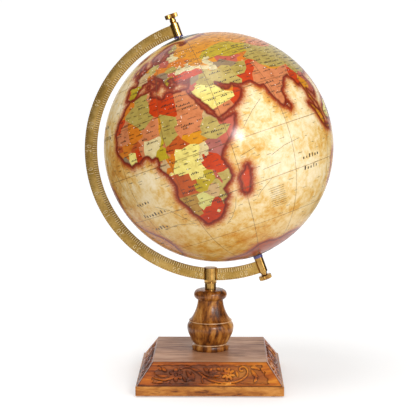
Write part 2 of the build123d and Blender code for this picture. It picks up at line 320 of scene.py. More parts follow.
# %% Coastlines
COASTS = {
    "africa": """-5.9 35.8, -2.9 35.3, -1.2 35.7, 3 36.8, 7 37, 9.8 37.3, 11 37, 10.6 35.7, 11.1 35.2,
        10.1 34.2, 11.1 33.3, 13.2 32.9, 15.3 32.3, 15.7 31.4, 17.9 30.4, 19.2 30.3, 20.1 31, 20 32,
        21.5 32.9, 23.1 32.6, 25 31.6, 27.3 31.3, 29 30.9, 30.3 31.4, 31.8 31.5, 32.6 31.1, 32.6 29.9,
        33.5 28, 34 26.7, 35.5 24, 35.6 22.9, 37.2 21, 37.3 19.2, 38.5 18, 39.5 15.7, 41.2 14.5,
        43.1 12.4, 43.2 11.5, 44.5 10.4, 47 11.1, 49 11.3, 51.2 11.9, 51 10.4, 50 8.1, 48 4.4, 46 2.4,
        44 1, 42 -1, 41 -2, 40 -3, 39.2 -4.7, 38.8 -6.2, 39.5 -7.1, 39.4 -8.5, 40.5 -10.6, 40.6 -13,
        40.8 -15, 39.8 -16.5, 37 -17.9, 34.9 -19.9, 35.4 -22, 35.5 -24, 32.9 -25.6, 32.8 -27.8,
        31 -29.9, 29.8 -31.4, 27.9 -33.1, 25.7 -34, 23.4 -34, 20 -34.8, 18.4 -34.2, 18.3 -32.6,
        17.2 -30.2, 16.5 -28.6, 15.2 -26.9, 14.5 -23, 13.4 -20.9, 11.8 -18, 11.9 -16, 13.4 -12.5,
        13.8 -10.7, 13.1 -8.9, 12.3 -6.1, 11.8 -4.7, 9.6 -2.4, 8.8 -.8, 9.5 .3, 9.8 2.3, 9.7 4,
        8.5 4.7, 7 4.4, 6 4.3, 5 5.9, 4 6.4, 2 6.3, 1 5.9, -.5 5.3, -2 4.8, -3.3 5.1, -5 5.1,
        -7.5 4.4, -9.2 5.9, -11 6.8, -12.6 7.6, -13.2 8.6, -13.9 9.8, -15.2 11, -16.7 12.4,
        -16.8 13.3, -17.5 14.7, -16.6 16, -16.1 18, -16.3 19.6, -17 21, -16.3 22.8, -15 24.8,
        -14.5 26.2, -13 27.8, -11.3 28.5, -9.8 29.8, -9.8 31.4, -8.5 33.3, -6.8 34.1, -6.1 35.2""",
    "eurasia": """32.6 29.9, 32.6 31.1, 34.2 31.3, 35 32.8, 35.8 35, 36.1 36.6, 34.5 36.7, 33 36.1,
        30.7 36.8, 29.5 36.3, 28.2 36.7, 27.2 37.5, 26.4 39, 26.2 39.6, 26.2 40.6, 24.5 40.9, 23.8 40.2,
        22.8 40.5, 22.8 39.3, 24 38, 23.5 37.5, 22.9 36.6, 21.7 36.8, 21.2 37.9, 20.2 39.3, 19.4 40.5,
        19.5 41.8, 17.5 43, 15.2 44.2, 14.5 45.3, 13.6 45.1, 13.6 45.7, 12.3 45.3, 12.5 44.2,
        13.6 43.5, 14.7 42.1, 16.1 41.7, 18.4 40.2, 17 40.4, 16.5 39.7, 17.1 39, 16.1 37.9, 15.7 38.2,
        16.1 39, 15.3 40.1, 14.2 40.8, 12.3 41.7, 10.5 42.9, 10.2 44, 8.9 44.4, 7.5 43.8, 6 43.1,
        4.5 43.4, 3.2 43.1, 3.1 42, .9 41, -.2 39.7, .1 38.7, -.8 37.6, -2.2 36.7, -4.5 36.7, -5.6 36,
        -6.4 36.8, -7.4 37.2, -8.9 37, -9.5 38.7, -8.7 40.5, -8.8 42, -9.3 43, -8 43.7, -4 43.4,
        -1.8 43.4, -1.2 44.7, -1.2 46, -2.7 47.5, -4.7 48.2, -3 48.8, -1.6 48.7, -1.8 49.7, .2 49.6,
        1.6 50.8, 3.5 51.5, 4.7 53, 7 53.4, 8.8 53.9, 8.2 55.5, 8.2 57, 10.5 57.7, 10.5 56.3, 9.6 55,
        11 54, 14 54, 18.5 54.8, 20 54.6, 21 55.5, 21.2 57, 23.6 57.2, 23.6 58.8, 27.8 59.5, 30 59.9,
        28 60.5, 23 59.9, 21.5 61, 21.3 63, 25.3 65, 22 65.7, 19 63.5, 17.3 61.5, 18.8 60, 16.6 58.5,
        16 56.3, 14.2 55.4, 12.8 55.5, 11.3 58.8, 10.5 59.3, 8 58.1, 5.5 58.8, 5 61, 8.5 63.5, 13 66,
        16.5 68.8, 21 70.2, 25.7 71.1, 31 70.3, 33 69.4, 41 67.5, 40.5 66.4, 35 66.6, 34.8 64.5,
        38 64, 40.5 64.6, 44 66, 44 68.4, 54 68.5, 60 69, 61 69.8, 67 69, 69 73, 72.8 71.2, 74.5 68,
        75 72, 80 72.2, 81 73.6, 87 75, 98 76, 104 77.7, 113 75.6, 113 73.7, 123 73, 130 71,
        140 72.6, 152 71, 160 69.6, 170 70, 179.8 68.9, 179.8 65, 177.5 64.7, 179.3 62.5, 170 60,
        163.3 58.3, 162 56.2, 162 54.8, 156.7 51, 155.6 54.5, 156 57, 161 60.5, 163.5 62.5,
        160 61.8, 155 59.3, 150 59.5, 142.5 59.2, 135.5 54.7, 140 54, 141 52, 140.4 48.5, 135.5 44,
        131 42.8, 129.7 41, 127.5 39.5, 129.4 37, 129 35.2, 126.4 34.5, 126.7 37, 125 38, 124.4 40,
        121.2 38.8, 121.8 40.7, 118 39.1, 119 37.3, 122.5 37.2, 119.3 35, 121.8 31.8, 122 30,
        121.5 28.3, 119.5 25.5, 116.5 23, 113.5 22.2, 110.4 21.2, 108.2 21.6, 106 19.9, 105.8 18.9,
        108.8 15.4, 109.4 12.5, 107.2 10.4, 105 8.7, 104.8 10.2, 103 11.2, 102 12.5, 100.9 13.4,
        100 13.2, 99.3 10.5, 100.3 8.4, 101.6 6.8, 103.4 4.5, 104.2 1.4, 103.4 1.4, 101.2 3,
        100.3 5.5, 99.2 7.5, 98.3 8.3, 98.6 11.5, 97.7 16.4, 95.4 15.8, 94.3 16.2, 94.5 18.5,
        92.3 20.8, 91.8 22.4, 90.5 22.2, 88.6 21.7, 87 21.2, 85.2 19.6, 82.3 16.8, 80.2 15.5,
        80.3 13.2, 79.8 10.4, 78.2 8.9, 77.5 8.1, 76.3 9.9, 74.8 12.9, 73.4 16.1, 72.8 19,
        72.8 21.2, 72.2 21.3, 70.5 20.8, 69.1 22.3, 68.3 23.6, 67 24.8, 64.5 25.3, 61.6 25.1,
        58.8 25.5, 57 27, 54.7 26.6, 52.5 27.5, 50.8 29.2, 48.9 30.3, 48 29.8, 48.7 28.2, 50.1 26.7,
        50.7 24.9, 50.9 26, 51.5 26, 51.6 24.9, 54 24.2, 56.1 25.8, 56.4 26.3, 56.6 24.6, 58.6 23.6,
        59.8 22.5, 58.6 20.5, 57.7 19, 56.3 17.9, 55 17, 52.2 15.6, 48.7 14, 45 12.8, 43.4 12.7,
        42.8 15, 42.6 16.6, 40.7 19.8, 39 21.9, 38.4 23.8, 37.1 24.9, 35.2 28, 34.9 29.5,
        34.3 27.8, 33 29.2""",
    "far_east_tip": "-179.8 68.8, -175 67.3, -170 66.1, -173 64.4, -179.8 65",
    "madagascar": """49.3 -12, 50.5 -15.5, 49.6 -16, 49.3 -18.5, 47.8 -22.5, 47 -25, 45.2 -25.6,
        43.7 -23.5, 44.4 -20, 44 -17.5, 44.5 -16.2, 46 -15.8, 47.8 -14.5, 48.8 -12.6""",
    "ceylon": "79.8 9.6, 81.2 8.6, 81.8 7, 80.6 5.9, 79.8 7",
    "britain": """-5.5 50.1, 1.4 51.2, 1.7 52.7, -.2 53.5, -1.8 55.5, -2 57.6, -3.2 58.6, -5 58.5,
        -6 56.5, -4.8 54.8, -3 53.8, -4.6 53.2, -4.2 52.3, -5.2 51.8, -3.2 51.4""",
    "ireland": "-10 51.7, -6.3 52.2, -6 54.2, -7.5 55.3, -10 54.2",
    "iceland": "-24 65.5, -22 64, -18.5 63.4, -14 65, -16 66.4, -20 66",
    "sicily": "12.4 38, 15.6 38.2, 15.1 36.7",
    "sardinia": "8.3 41, 9.7 40.8, 9.5 39.1, 8.4 39",
    "crete": "23.5 35.5, 26.2 35.3, 25 34.9",
    "cyprus": "32.3 35, 34.5 35.6, 33.7 34.7",
    "sumatra": """95.3 5.6, 97.5 5.2, 100.3 2.8, 103.5 0, 106 -3, 105.8 -5.8, 104.5 -5.8, 102 -4,
        100.4 -1, 98.8 1.7, 97 3.2""",
    "java": "105.2 -6.7, 108.5 -6.7, 112.6 -6.9, 114.5 -7.8, 114.3 -8.7, 108 -7.8",
    "borneo": """109 1.5, 111.4 2.5, 113 3.2, 117 7, 119 5, 117.8 1, 116.3 -3.5, 114.5 -4, 110.2 -2.9,
        109 0""",
    "celebes": """119.5 -5.5, 119 -2.5, 120 1, 124.8 1.5, 121 .4, 121 -1, 123.3 -.9, 121.5 -2,
        122.5 -4.5, 120.5 -3""",
    "new_guinea": """131 -.8, 134 -1, 135 -3.3, 138 -1.7, 144.5 -3.9, 147.8 -6, 150.7 -10.3, 147 -9.5,
        143.5 -8.7, 141 -9, 138.5 -8, 138 -5.5, 133 -4, 132 -2.8""",
    "luzon": "120.4 18.4, 122.2 18.4, 121.6 14.3, 124 12.8, 120.6 14",
    "mindanao": "122 7, 125 9.8, 126.4 7.5, 125.4 5.8, 123.5 7.4",
    "formosa": "120.2 23, 121.6 25.2, 121 22",
    "honshu": """131 34.2, 133 35.5, 136 36, 139 38.3, 141 41.4, 142 39.5, 140.8 35.8, 138.5 34.7,
        135.8 33.6""",
    "kyushu": "129.8 33, 131 33.9, 131.9 32.8, 130.7 31.2",
    "hokkaido": "140 42, 141.5 45.3, 145.3 43.3, 143 42",
    "sakhalin": "142 46.2, 142 50, 142.8 54.3, 144 50, 143.4 46.8",
    "australia": """113.8 -22.5, 114.2 -26.3, 115.7 -31.9, 115.1 -34.3, 118 -35, 123.5 -33.9,
        126 -32.3, 131.2 -31.5, 134 -32.8, 135.7 -34.9, 137.8 -33, 138.2 -35.6, 140.5 -38,
        144.4 -38.3, 146.4 -39.1, 150 -37.4, 151.5 -33, 153.2 -29, 153.2 -25, 150.8 -23.2,
        149 -20.5, 146.3 -19, 145.5 -15, 142.6 -10.8, 141.6 -13.5, 140.8 -17.4, 139 -17.3,
        135.6 -14.9, 136.8 -12.2, 132.6 -11.5, 130 -13, 129.5 -15, 126.5 -14, 124 -16.3,
        122.2 -18.2, 119 -20, 115.5 -21.3""",
    "tasmania": "144.8 -40.8, 148.3 -40.9, 147.5 -43.4, 146 -43.4",
    "new_zealand_north": """172.8 -34.5, 175.5 -36.8, 178.4 -37.8, 177 -39.5, 175.2 -41.6, 173.9 -39.4,
        174.8 -37""",
    "new_zealand_south": """172.7 -40.6, 174.2 -41.6, 171.2 -44.2, 170.3 -46, 168.3 -46.6, 166.6 -45.9,
        170.8 -42.8""",
    "antarctica": """-179.9 -78, -160 -78, -150 -77, -135 -74.5, -120 -74, -100 -73, -80 -73, -68 -68,
        -60 -64, -57 -63.5, -60 -66, -62 -73, -60 -75, -40 -78, -28 -76, -15 -72.5, 0 -70, 15 -70,
        28 -69.5, 38 -66.5, 47 -62.8, 57 -62.4, 66 -64.6, 75 -64, 84 -62.2, 100 -62.8, 115 -64.5, 130 -65.5,
        142 -67, 155 -69, 168 -71.5, 165 -77.5, 179.9 -78, 179.9 -89.5, -179.9 -89.5""",
    "greenland": """-73 78, -60 82.2, -30 83.5, -12 81.5, -20 76, -22 71, -32 68, -40 65, -43.5 60,
        -48 61, -53 66, -52 69.5, -55 71.5, -58 75.5, -68 76""",
    "north_america": """-168 65.6, -162 66.5, -166.5 68.4, -156.5 71.3, -141 69.7, -127 70.2, -115 69,
        -108 68, -96 68, -95 72, -90 69, -82 69.5, -82 67.5, -87 65, -94 61, -94 58.8, -88 56.5,
        -82.3 55, -82 52.8, -79.5 51.3, -79 54.5, -77 57, -78 62.3, -73 62, -69.5 61, -69.5 58.8,
        -65 60, -61.5 57, -57 54.5, -56 52, -60 50.2, -66.5 50.2, -69 48.2, -65 49, -64.5 46.3,
        -60.5 45.8, -65.8 43.6, -67 44.8, -70.3 43.5, -70 41.8, -74 40.6, -75.7 37.3, -75.6 35.3,
        -78 33.9, -81.2 31.5, -80.2 27, -80.5 25.2, -81.8 26, -82.8 28.5, -84 30, -88 30.3,
        -89.5 29.2, -94 29.6, -97.2 27.8, -97.7 24, -97.8 22.3, -96 19, -94.5 18.2, -91 18.7,
        -90.4 21, -87 21.5, -88 18, -88.6 15.8, -83.3 15, -83.6 11, -81.5 8.9, -79.5 9.6, -77.6 8.7,
        -78.4 7.6, -80 7.3, -83 8.3, -85.8 10.2, -87.6 13, -92 14.4, -95 16, -99.8 16.7, -105.5 20,
        -106 23, -109.4 25.8, -112.8 30, -114.7 31.6, -111.4 26.5, -109.5 23, -112.2 25, -114.8 28,
        -116 30.5, -117.2 32.7, -120.6 34.6, -122.5 37.5, -124.3 40.4, -124 46, -124.6 48.3,
        -122.5 48.8, -127 50.8, -130.2 54.7, -134 58, -139.5 59.8, -146 60.6, -151 59.3,
        -158.5 56, -164.8 54.6, -160 56.8, -157.5 58.6, -162 59, -166 61.6, -161 64.3, -166 64.6""",
    "baffin": "-80 73.5, -68 70.5, -61.5 66.5, -66 62, -78 65, -73 67.5, -85 70",
    "victoria": "-117 73, -105 73, -101 69.4, -116 69.6",
    "ellesmere": "-90 76.5, -78 76.5, -62 82.5, -90 81.5",
    "newfoundland": "-59.3 47.7, -55.6 51.6, -53 47, -55.8 47",
    "cuba": "-84.8 21.9, -82.5 23.1, -77 21.5, -74.2 20.2, -77.7 19.9, -79 21.2",
    "hispaniola": "-74.4 18.4, -73 19.9, -68.5 18.7, -71.5 17.8",
    "south_america": """-77.3 8.4, -75.5 10.8, -71.6 12.4, -71.5 11, -68.3 10.8, -62 10.6, -60 8.5,
        -57 6, -51.5 4.2, -50 1.7, -48.5 -.8, -44.3 -2.6, -39.5 -3, -35.2 -5.2, -34.8 -8,
        -37.5 -12, -39 -13.5, -39.2 -17.7, -38 -22, -33.5 -25.5, -29.5 -28.6, -25 -31.2,
        -20.4 -34.4, -18 -37.6, -18.2 -41, -20.5 -45, -25.5 -49.2, -34 -51.5, -45 -52.2, -58 -52,
        -69 -51, -68.3 -52.4, -65.2 -54.7, -69 -55.4, -74.5 -52.5,
        -75.5 -47, -74 -41.5, -73.5 -37, -71.5 -32.5, -71.4 -28, -70.2 -20, -70.4 -18.3,
        -76.2 -13.8, -79.5 -7.5, -81.3 -4.7, -80 -3, -80.9 -1, -80 .8, -78.7 1.8, -77.3 4,
        -77.6 6.5, -78 7.4""",
}
LAKES = {
    "black_sea": """28 41.6, 29 41.2, 31.3 41.3, 33.3 42, 35.1 42, 36.5 41.3, 38.5 41, 41.5 41.5,
        41.4 42.7, 39.5 44, 37.4 44.9, 38 46.3, 39.2 47.2, 36.5 46.7, 35 46.2, 36.3 45.3, 35 44.9,
        33.5 44.6, 32.6 45.4, 33.2 46.1, 31.5 46.6, 30.2 45.8, 29.6 45, 28.6 43.6, 27.7 42.6""",
    "caspian": """47.5 45.5, 49.5 46.6, 53 46.8, 53 45.2, 51 44.5, 52.7 42.5, 52.7 41, 53.9 39,
        53.8 37, 51 36.7, 49 37.6, 48.9 39.5, 50.3 40.4, 48.5 42, 47.2 43.8""",
    "victoria_lake": "31.8 -.6, 33 .3, 34.1 -.2, 33.8 -2, 32 -2.6",
    "great_lakes": "-92 46.8, -88 48.5, -84.5 46.5, -80 45.5, -83 42.5, -79 43, -83 41.6, -87.5 42",
}

# %% [markdown]
# The inks are the handful that such a map is printed in: brick red, salmon, amber, mustard,
# olive, khaki, pale yellow and a few greys and mauves.

# %% Inks and countries
INKS = {
    "brick": "BE3A00", "rust": "B4521C", "salmon": "C87C50", "rose": "B85A48", "amber": "D08C12",
    "orange": "CC7512", "mustard": "B39E1C", "olive": "A9974C", "khaki": "B5A35E", "lemon": "E2D67C",
    "cream": "D6C798", "buff": "C2A57A", "taupe": "8F7A60", "mauve": "A8645E", "plum": "7C4A44",
    "ochre": "AE8A44", "pear": "CFCF86",
}
COUNTRIES = [
    # the ink under each land, which shows wherever no outline is drawn over it
    ("africa", "salmon", "-20 38, 60 38, 60 -40, -20 -40"),
    ("north asia", "amber", "-12 80, 179.9 80, 179.9 0, -12 36"),
    ("morocco", "orange", "-13 27.7, -8.7 27.7, -8.7 28.8, -3 32, -1.2 32.2, -1.8 35.5, -6 36, -14 33"),
    ("western coast", "brick", "-18 20.8, -13 21.3, -12 23.4, -8.7 26, -8.7 27.7, -14 27.9, -19 24"),
    ("mauritania", "salmon", """-17.5 20.8, -13 21.3, -12 23.4, -8.7 26, -8.7 27.3, -4.8 25, -6.5 25,
        -5.5 16.5, -5.5 15.5, -12 15, -16.5 16.2, -18 18"""),
    ("algeria", "olive", """-8.7 28.8, -3 32, -1.2 32.2, -1.8 36, 8.5 38, 8.3 35, 7.6 33.5, 9.1 32,
        9.5 30, 9.9 28, 9.4 26.2, 12 23.5, 5.8 19.4, 3.2 19, 1.2 21.1, -4.8 25, -8.7 27.3"""),
    ("tunisia", "salmon", "8.5 38, 12 37.5, 11.6 33.1, 10.2 31.5, 9.1 32, 7.6 33.5, 8.3 35"),
    ("libya", "brick", """11.6 33.1, 10.2 31.5, 9.5 30, 9.9 28, 9.4 26.2, 12 23.5, 14.2 22.5,
        16 23.4, 24 19.5, 24 20, 25 20, 25 34, 12 34"""),
    ("egypt", "salmon", "25 33, 25 22, 37.5 22, 34.5 28, 34.8 29.6, 34.2 32"),
    ("chad", "olive", """16 23.4, 24 19.5, 24 15.7, 22 15, 22.2 12.7, 22.9 11, 19 9, 17.5 8, 15.5 7.5,
        15.3 10, 14 12.5, 13.5 14, 15.5 17, 15.6 20.5, 15 22.5"""),
    ("niger", "salmon", """3.2 19, 5.8 19.4, 12 23.5, 14.2 22.5, 15 22.8, 15.6 20.5, 15.5 17,
        13.5 14, 13 13.5, 10 13.2, 7 13, 4 13.5, 3.6 12, 2 12.5, .3 14.8, 1 15.3, 3.4 15.6, 4.2 16.5"""),
    ("niger east", "amber", "13.4 14, 15.5 17, 15.6 20.5, 15 22.8, 14.3 22.5, 14.4 19.5, 13.6 16.5"),
    ("mali", "orange", """-12 15, -5.5 15.5, -5.5 16.5, -6.5 25, -4.8 25, 1.2 21.1, 3.2 19, 4.2 16.5,
        3.4 15.6, .3 14.8, -2 14.2, -4 13.2, -5.5 11.5, -8 10.3, -9.5 12.3, -11.5 12.3"""),
    ("senegal", "rust", "-18.5 16.2, -16.5 16.2, -12 15, -11.5 12.3, -17.5 12.3"),
    ("guinea", "orange", "-17 12.3, -11.5 12.3, -9.5 12.3, -8 10.3, -8 7.8, -9.5 8.5, -11 10, -13.5 9"),
    ("liberia", "taupe", "-13.8 9, -11 10, -9.5 8.5, -8.5 7.5, -7.5 4, -13 6"),
    ("ivory coast", "lemon", "-8 10.3, -5.5 10.5, -2.8 9.8, -3 5, -7.5 4, -8.5 7.5, -8 7.8"),
    ("upper volta", "rust", """-5.5 10.5, -5.5 11.5, -4 13.2, -2 14.2, .3 14.8, 2 12.5, 1 11, -2.8 11,
        -2.8 9.8"""),
    ("gold coast", "brick", "-2.8 9.8, -2.8 11, 0 11, 1.2 6, -3 4.5"),
    ("dahomey", "salmon", "0 11, 2 12.5, 3.6 12, 2.8 9, 2.7 6, 1.2 5.5"),
    ("nigeria", "cream", """2.7 6, 2.8 9, 3.6 12, 4 13.5, 7 13, 10 13.2, 13 13.5, 14 13, 14 11.5, 12 8,
        10 7, 8.5 4, 6 3.8"""),
    ("cameroon", "mustard", """14 13, 14.5 12.5, 15.3 10, 13.5 8, 15.5 7, 14.5 5, 16 2, 9 2.2, 8.5 4.5,
        10 7, 12 8, 14 11.5"""),
    ("central africa", "rust", """15.5 7.5, 17.5 8, 19 9, 22.9 11, 24 8.7, 27.4 5, 22.5 4.1, 18.6 3.5,
        16.5 3.6, 14.5 5"""),
    ("congo", "orange", """11 -4.5, 12.5 -2, 14.5 -2, 13.2 2.2, 16 2.2, 16.5 3.6, 18.6 3.5, 17.8 0,
        16 -2.5, 15 -4.8, 12 -5.5"""),
    ("gabon", "buff", "8 1, 11.3 1, 11.3 2.2, 13.2 2.2, 14.5 -2, 12.5 -2, 11 -4.5, 8 -2"),
    ("zaire", "lemon", """11.8 -5.8, 13 -4.5, 15 -4.8, 16 -2.5, 17.8 0, 18.6 3.5, 19.5 5, 22.5 4.1,
        27.4 5.2, 29.5 4.5, 31 3.7, 31.2 2.2, 29.7 .5, 29.5 -1.5, 29 -3, 29.3 -4.5, 30.5 -8.2,
        28.6 -8.5, 28.5 -12, 29.8 -13.4, 27 -12, 24 -11, 22 -11, 21.8 -7.3, 17 -7.2, 16.5 -5.9"""),
    ("south sudan", "amber", """24 8.7, 25 10.2, 28 9.4, 31 9.8, 33.9 9.5, 34 8, 33 7.8, 35.9 4.6,
        34 4.2, 31 3.7, 29.5 4.5, 27.4 5"""),
    ("uganda", "cream", "31.2 2.2, 31 3.7, 34 4.2, 34.9 1, 34 -1, 29.6 -1.3, 29.7 .5"),
    ("somalia", "rose", """42.8 11, 43.2 12, 52 12.5, 52 9, 43 -2.5, 41.5 -1.6, 41 3.9, 42 4.2, 45 5,
        47.9 8, 43 9.5"""),
    ("kenya", "mauve", """34 4.2, 35.9 4.6, 36.9 4.4, 39.5 3.5, 41 3.9, 41.5 -1.6, 41 -4, 39 -5,
        37.7 -3, 34 -1, 34.9 1"""),
    ("eritrea", "buff", "36.3 14, 36.8 16.5, 38.6 18.3, 43.5 12.6, 42.4 12.4, 40 14.5, 37.5 14.8"),
    ("ethiopia", "khaki", """36.3 14, 37.5 14.8, 40 14.5, 42.4 12.4, 42.8 11, 43 9.5, 47.9 8, 45 5,
        42 4.2, 41 3.9, 39.5 3.5, 36.9 4.4, 35.9 4.6, 33 7.8, 34.2 8.5, 33.9 9.5, 34 11, 35 12.6"""),
    ("rwanda", "cream", "29 -1.5, 30.8 -1.3, 30.8 -4, 29.3 -4.5"),
    ("tanzania", "brick", """30.8 -1.2, 34 -1, 37.7 -3, 39 -5, 41 -6, 41 -10.6, 37.5 -11.7,
        34.6 -11.5, 34 -9.5, 31 -8.6, 29.5 -6, 29.3 -4.5, 30.8 -4"""),
    ("angola", "rust", """11 -5.9, 16.5 -5.9, 17 -7.2, 21.8 -7.3, 22 -11, 24 -11, 24 -13, 22 -13,
        22 -16.2, 23.3 -17.6, 18.5 -17.4, 14 -17.4, 11 -17.3"""),
    ("zambia", "mustard", """22 -13, 24 -13, 24 -11, 27 -12, 29.8 -13.4, 28.5 -12, 28.6 -8.5,
        30.8 -8.4, 33 -9.5, 33.2 -13.5, 30.3 -15.2, 28.8 -16, 27 -18, 25.2 -17.8, 23.3 -17.6, 22 -16.2"""),
    ("mozambique", "khaki", """34.6 -11.5, 37.5 -11.7, 42 -10.3, 42 -17, 36 -24, 34 -27, 32 -26.8,
        31.3 -22.3, 32.9 -20, 32.9 -16.7, 30.3 -15.2, 33.2 -13.5, 34.3 -14.4, 35.2 -17.1, 35.8 -16"""),
    ("malawi", "rose", "33 -9.5, 34 -9.5, 34.6 -11.5, 35.8 -16, 35.2 -17.1, 34.3 -14.4, 33.2 -13.5"),
    ("zimbabwe", "buff", """25.2 -17.8, 27 -18, 28.8 -16, 30.4 -15.6, 32.9 -16.7, 32.9 -20, 31.3 -22.3,
        29.4 -22.2, 27.7 -20.9"""),
    ("namibia", "ochre", """11 -17.3, 18.5 -17.4, 23.3 -17.6, 25 -17.7, 21 -18.3, 21 -22, 20 -22,
        20 -28.4, 17 -29, 14 -28, 13 -22"""),
    ("botswana", "pear", """21 -18.3, 25.2 -17.8, 27.7 -20.9, 29.4 -22.2, 27 -23.7, 25.6 -25.7,
        23 -25.4, 20.8 -26.8, 20 -24.8, 20 -22, 21 -22"""),
    ("south africa", "brick", """14 -28.6, 17 -29, 20 -28.4, 20 -24.8, 20.8 -26.8, 23 -25.4, 25.6 -25.7,
        27 -23.7, 29.4 -22.2, 31.3 -22.3, 32 -24, 32 -26.8, 35 -26.8, 33 -33, 26 -36, 16 -36"""),
    ("lesotho", "cream", "27 -29.6, 28.5 -28.6, 29.4 -29.8, 28 -30.6"),
    ("kazakhstan", "mustard", """47 48, 51 51.5, 60 54, 70 55, 77 54, 80 51, 87 49, 80 45, 80 42.5,
        71 42.5, 66 42, 58 45, 53 45.5, 47 46"""),
    ("mongolia", "salmon", """87.8 49, 98 52, 107 49.5, 116 49.8, 119 47, 111 43, 105 41.8, 97 42.7,
        91 45"""),
    ("china", "olive", """73.5 39.5, 80 42.5, 80 45, 87 49, 91 45, 97 42.7, 105 41.8, 111 43, 119 47,
        116 49.8, 120 53, 127 50, 135 48.4, 131 43, 124 40, 123.5 30, 112 17, 108.2 21.4, 105 22.7,
        101 21.3, 97.5 24, 98.5 28, 92 27.7, 86 28, 79 32, 78 35.5, 74.5 37"""),
    ("korea", "brick", "124 40, 131 42.8, 130 34, 125 34"),
    ("japan", "rose", "129 30, 131 34.5, 139 39, 140.5 42, 140.5 46, 147 44, 142 33"),
    ("india", "salmon", """68 24, 70 28, 74 31, 74 34.5, 78 35.5, 79 32, 81 30, 88 27, 92 27.7, 97 28,
        95 25, 93 22, 92 20, 85 14, 82.5 6, 76 6, 70 18"""),
    ("nepal", "amber", "80.2 30, 81 28.5, 88 26.5, 88.1 27.9, 83 29.2"),
    ("pakistan", "brick", """61.5 24.5, 63 27, 61 29.8, 66.3 29.8, 69.3 32, 71.5 36.4, 75 37, 77.5 35.4,
        74 34.5, 74 31, 70 28, 68 23.4"""),
    ("afghanistan", "olive", """61 29.8, 61 35.5, 64.5 37, 71 38.3, 74.5 37.2, 71.5 36.4, 69.3 32,
        66.3 29.8"""),
    ("iran", "khaki", """44.5 39.5, 48 38.8, 49 37, 54 37, 57 38.2, 61 36.5, 61 29.8, 63 27,
        61.5 24.5, 56 25.8, 50 27.5, 48 30.2, 46 33, 45.5 35.5, 44.8 37.2"""),
    ("turkmenistan", "taupe", """52 42, 56 41.3, 58.5 42.7, 62 40, 66.5 37.4, 64.5 36, 61 35.5, 61 36.5,
        57 38.2, 54 37.4, 52.5 40"""),
    ("uzbekistan", "rose", """56 45, 58.5 45.5, 62 43.5, 66 42, 70.9 42.2, 73 40.5, 69 40, 67.5 37.3,
        66.5 37.4, 62 40, 58.5 42.7, 56 41.3"""),
    ("kirghizia", "orange", """70.9 42.2, 80 42.5, 73.5 39.5, 74.5 37.2, 71 36.8, 67.5 37.3, 69 40,
        73 40.5"""),
    ("turkey", "brick", """25.8 42, 28 42, 31 41.6, 35 42.3, 41.5 41.5, 44.5 40, 44.8 37.2, 42 37.2,
        36.6 36.8, 36 35.9, 30 35.8, 25 36.8"""),
    ("caucasus", "cream", "39 44, 46 41.8, 50 40.5, 48.8 38.5, 44.5 39.7, 43.5 41, 41.5 41.5"),
    ("syria", "taupe", "35.4 36, 36.6 36.8, 42 37.2, 41 34.4, 38.8 33.4, 36 32.4, 35.4 34.5"),
    ("iraq", "olive", """42 37.2, 44.8 37.2, 45.5 35.5, 46 33, 48.4 30.2, 47.7 29.2, 46.5 29.1,
        44.7 29.2, 39.2 32, 38.8 33.4, 41 34.4"""),
    ("levant", "rose", """32.4 31.4, 34.2 31.6, 35.5 34.6, 36 32.4, 38.8 33.4, 39.2 32, 37 31.4,
        38 30.5, 36 29.2, 34.9 29.2, 34.3 27.5, 32.4 29.5"""),
    ("arabia", "lemon", """34.9 29.4, 36 29.2, 38 30.5, 37 31.4, 39.2 32, 44.7 29.2, 46.5 29.1,
        47.7 28.5, 50 26.9, 50.8 24.6, 51.6 24.2, 55.2 22.6, 55 20, 52 19, 48 18.2, 43.3 17.3,
        42.3 16.3, 38 22, 34 28"""),
    ("yemen", "salmon", "42 16.5, 43.3 17.3, 48 18.2, 52 19, 53.2 16.5, 52 13, 43 12"),
    ("oman", "brick", "53.2 15.5, 52 19, 55 20, 55.2 22.6, 56 24.5, 60.5 23.5, 60 20, 55 16"),
    ("emirates", "orange", "51.5 24, 51.5 25, 56 26.8, 56.8 26, 56.4 24.4, 55.2 22.6"),
    ("qatar", "mustard", "50.6 24.6, 50.6 26.4, 51.8 26.4, 51.8 24.6"),
    ("ukraine", "orange", "22 49, 24 51.5, 31 52, 34 52, 40 49.6, 38 47, 33 44, 29 45.5, 24 48"),
    ("romania", "olive", "20.5 46, 24 48, 28 48, 29.7 45.2, 28.6 43.7, 23 43.8, 21.3 45"),
    ("bulgaria", "rose", "22.5 44.2, 28.6 43.8, 28 42, 26 41.7, 23 41.4"),
    ("greece", "mustard", """20 39.7, 23 41.4, 26 41.7, 26.3 40.3, 25 37, 26.4 35, 23 34.8, 21 36,
        19.5 38"""),
    ("poland", "rose", "14.5 53.9, 19 55, 23.5 54, 23.8 51, 22 49, 15 50.9"),
    ("germany", "khaki", """6 51.5, 6.5 54, 10 55, 14.5 54.5, 15 50.9, 12.5 50, 13.5 48.7, 10.5 47.4,
        7.6 47.6, 6 50"""),
    ("france", "buff", "-5 48.7, 2 51.2, 6 50, 8 49, 7.6 47.6, 6.3 46.2, 7.6 43.5, 3 42.3, -1.8 43.3"),
    ("spain", "mustard", "-9.5 43.9, -1.8 43.6, 3.4 42.5, 3 41, -2 36, -6 35.9, -7.3 36.9, -7 41.9"),
    ("portugal", "rust", "-9.8 42, -6.6 41.8, -7.3 37, -9.9 36.8"),
    ("italy", "rust", """7 44, 6.8 46, 10.5 46.8, 13.7 46.5, 13.7 45.4, 14 43, 19 40, 16 36.3, 12 37,
        8 38.5, 8 43"""),
    ("balkans", "taupe", "13.7 45.4, 16.5 46.5, 20.5 46, 23 43.8, 23 41.4, 20 39.7, 19 41.8"),
    ("scandinavia", "mauve", "4 57.5, 5 62, 15 69.5, 25 71.5, 28 70.5, 24 66, 17 60.5, 15 55, 11 59"),
    ("finland", "olive", "24 66, 28 70, 30 67.5, 31.5 62.8, 28 60.4, 22.5 59.6, 21 62"),
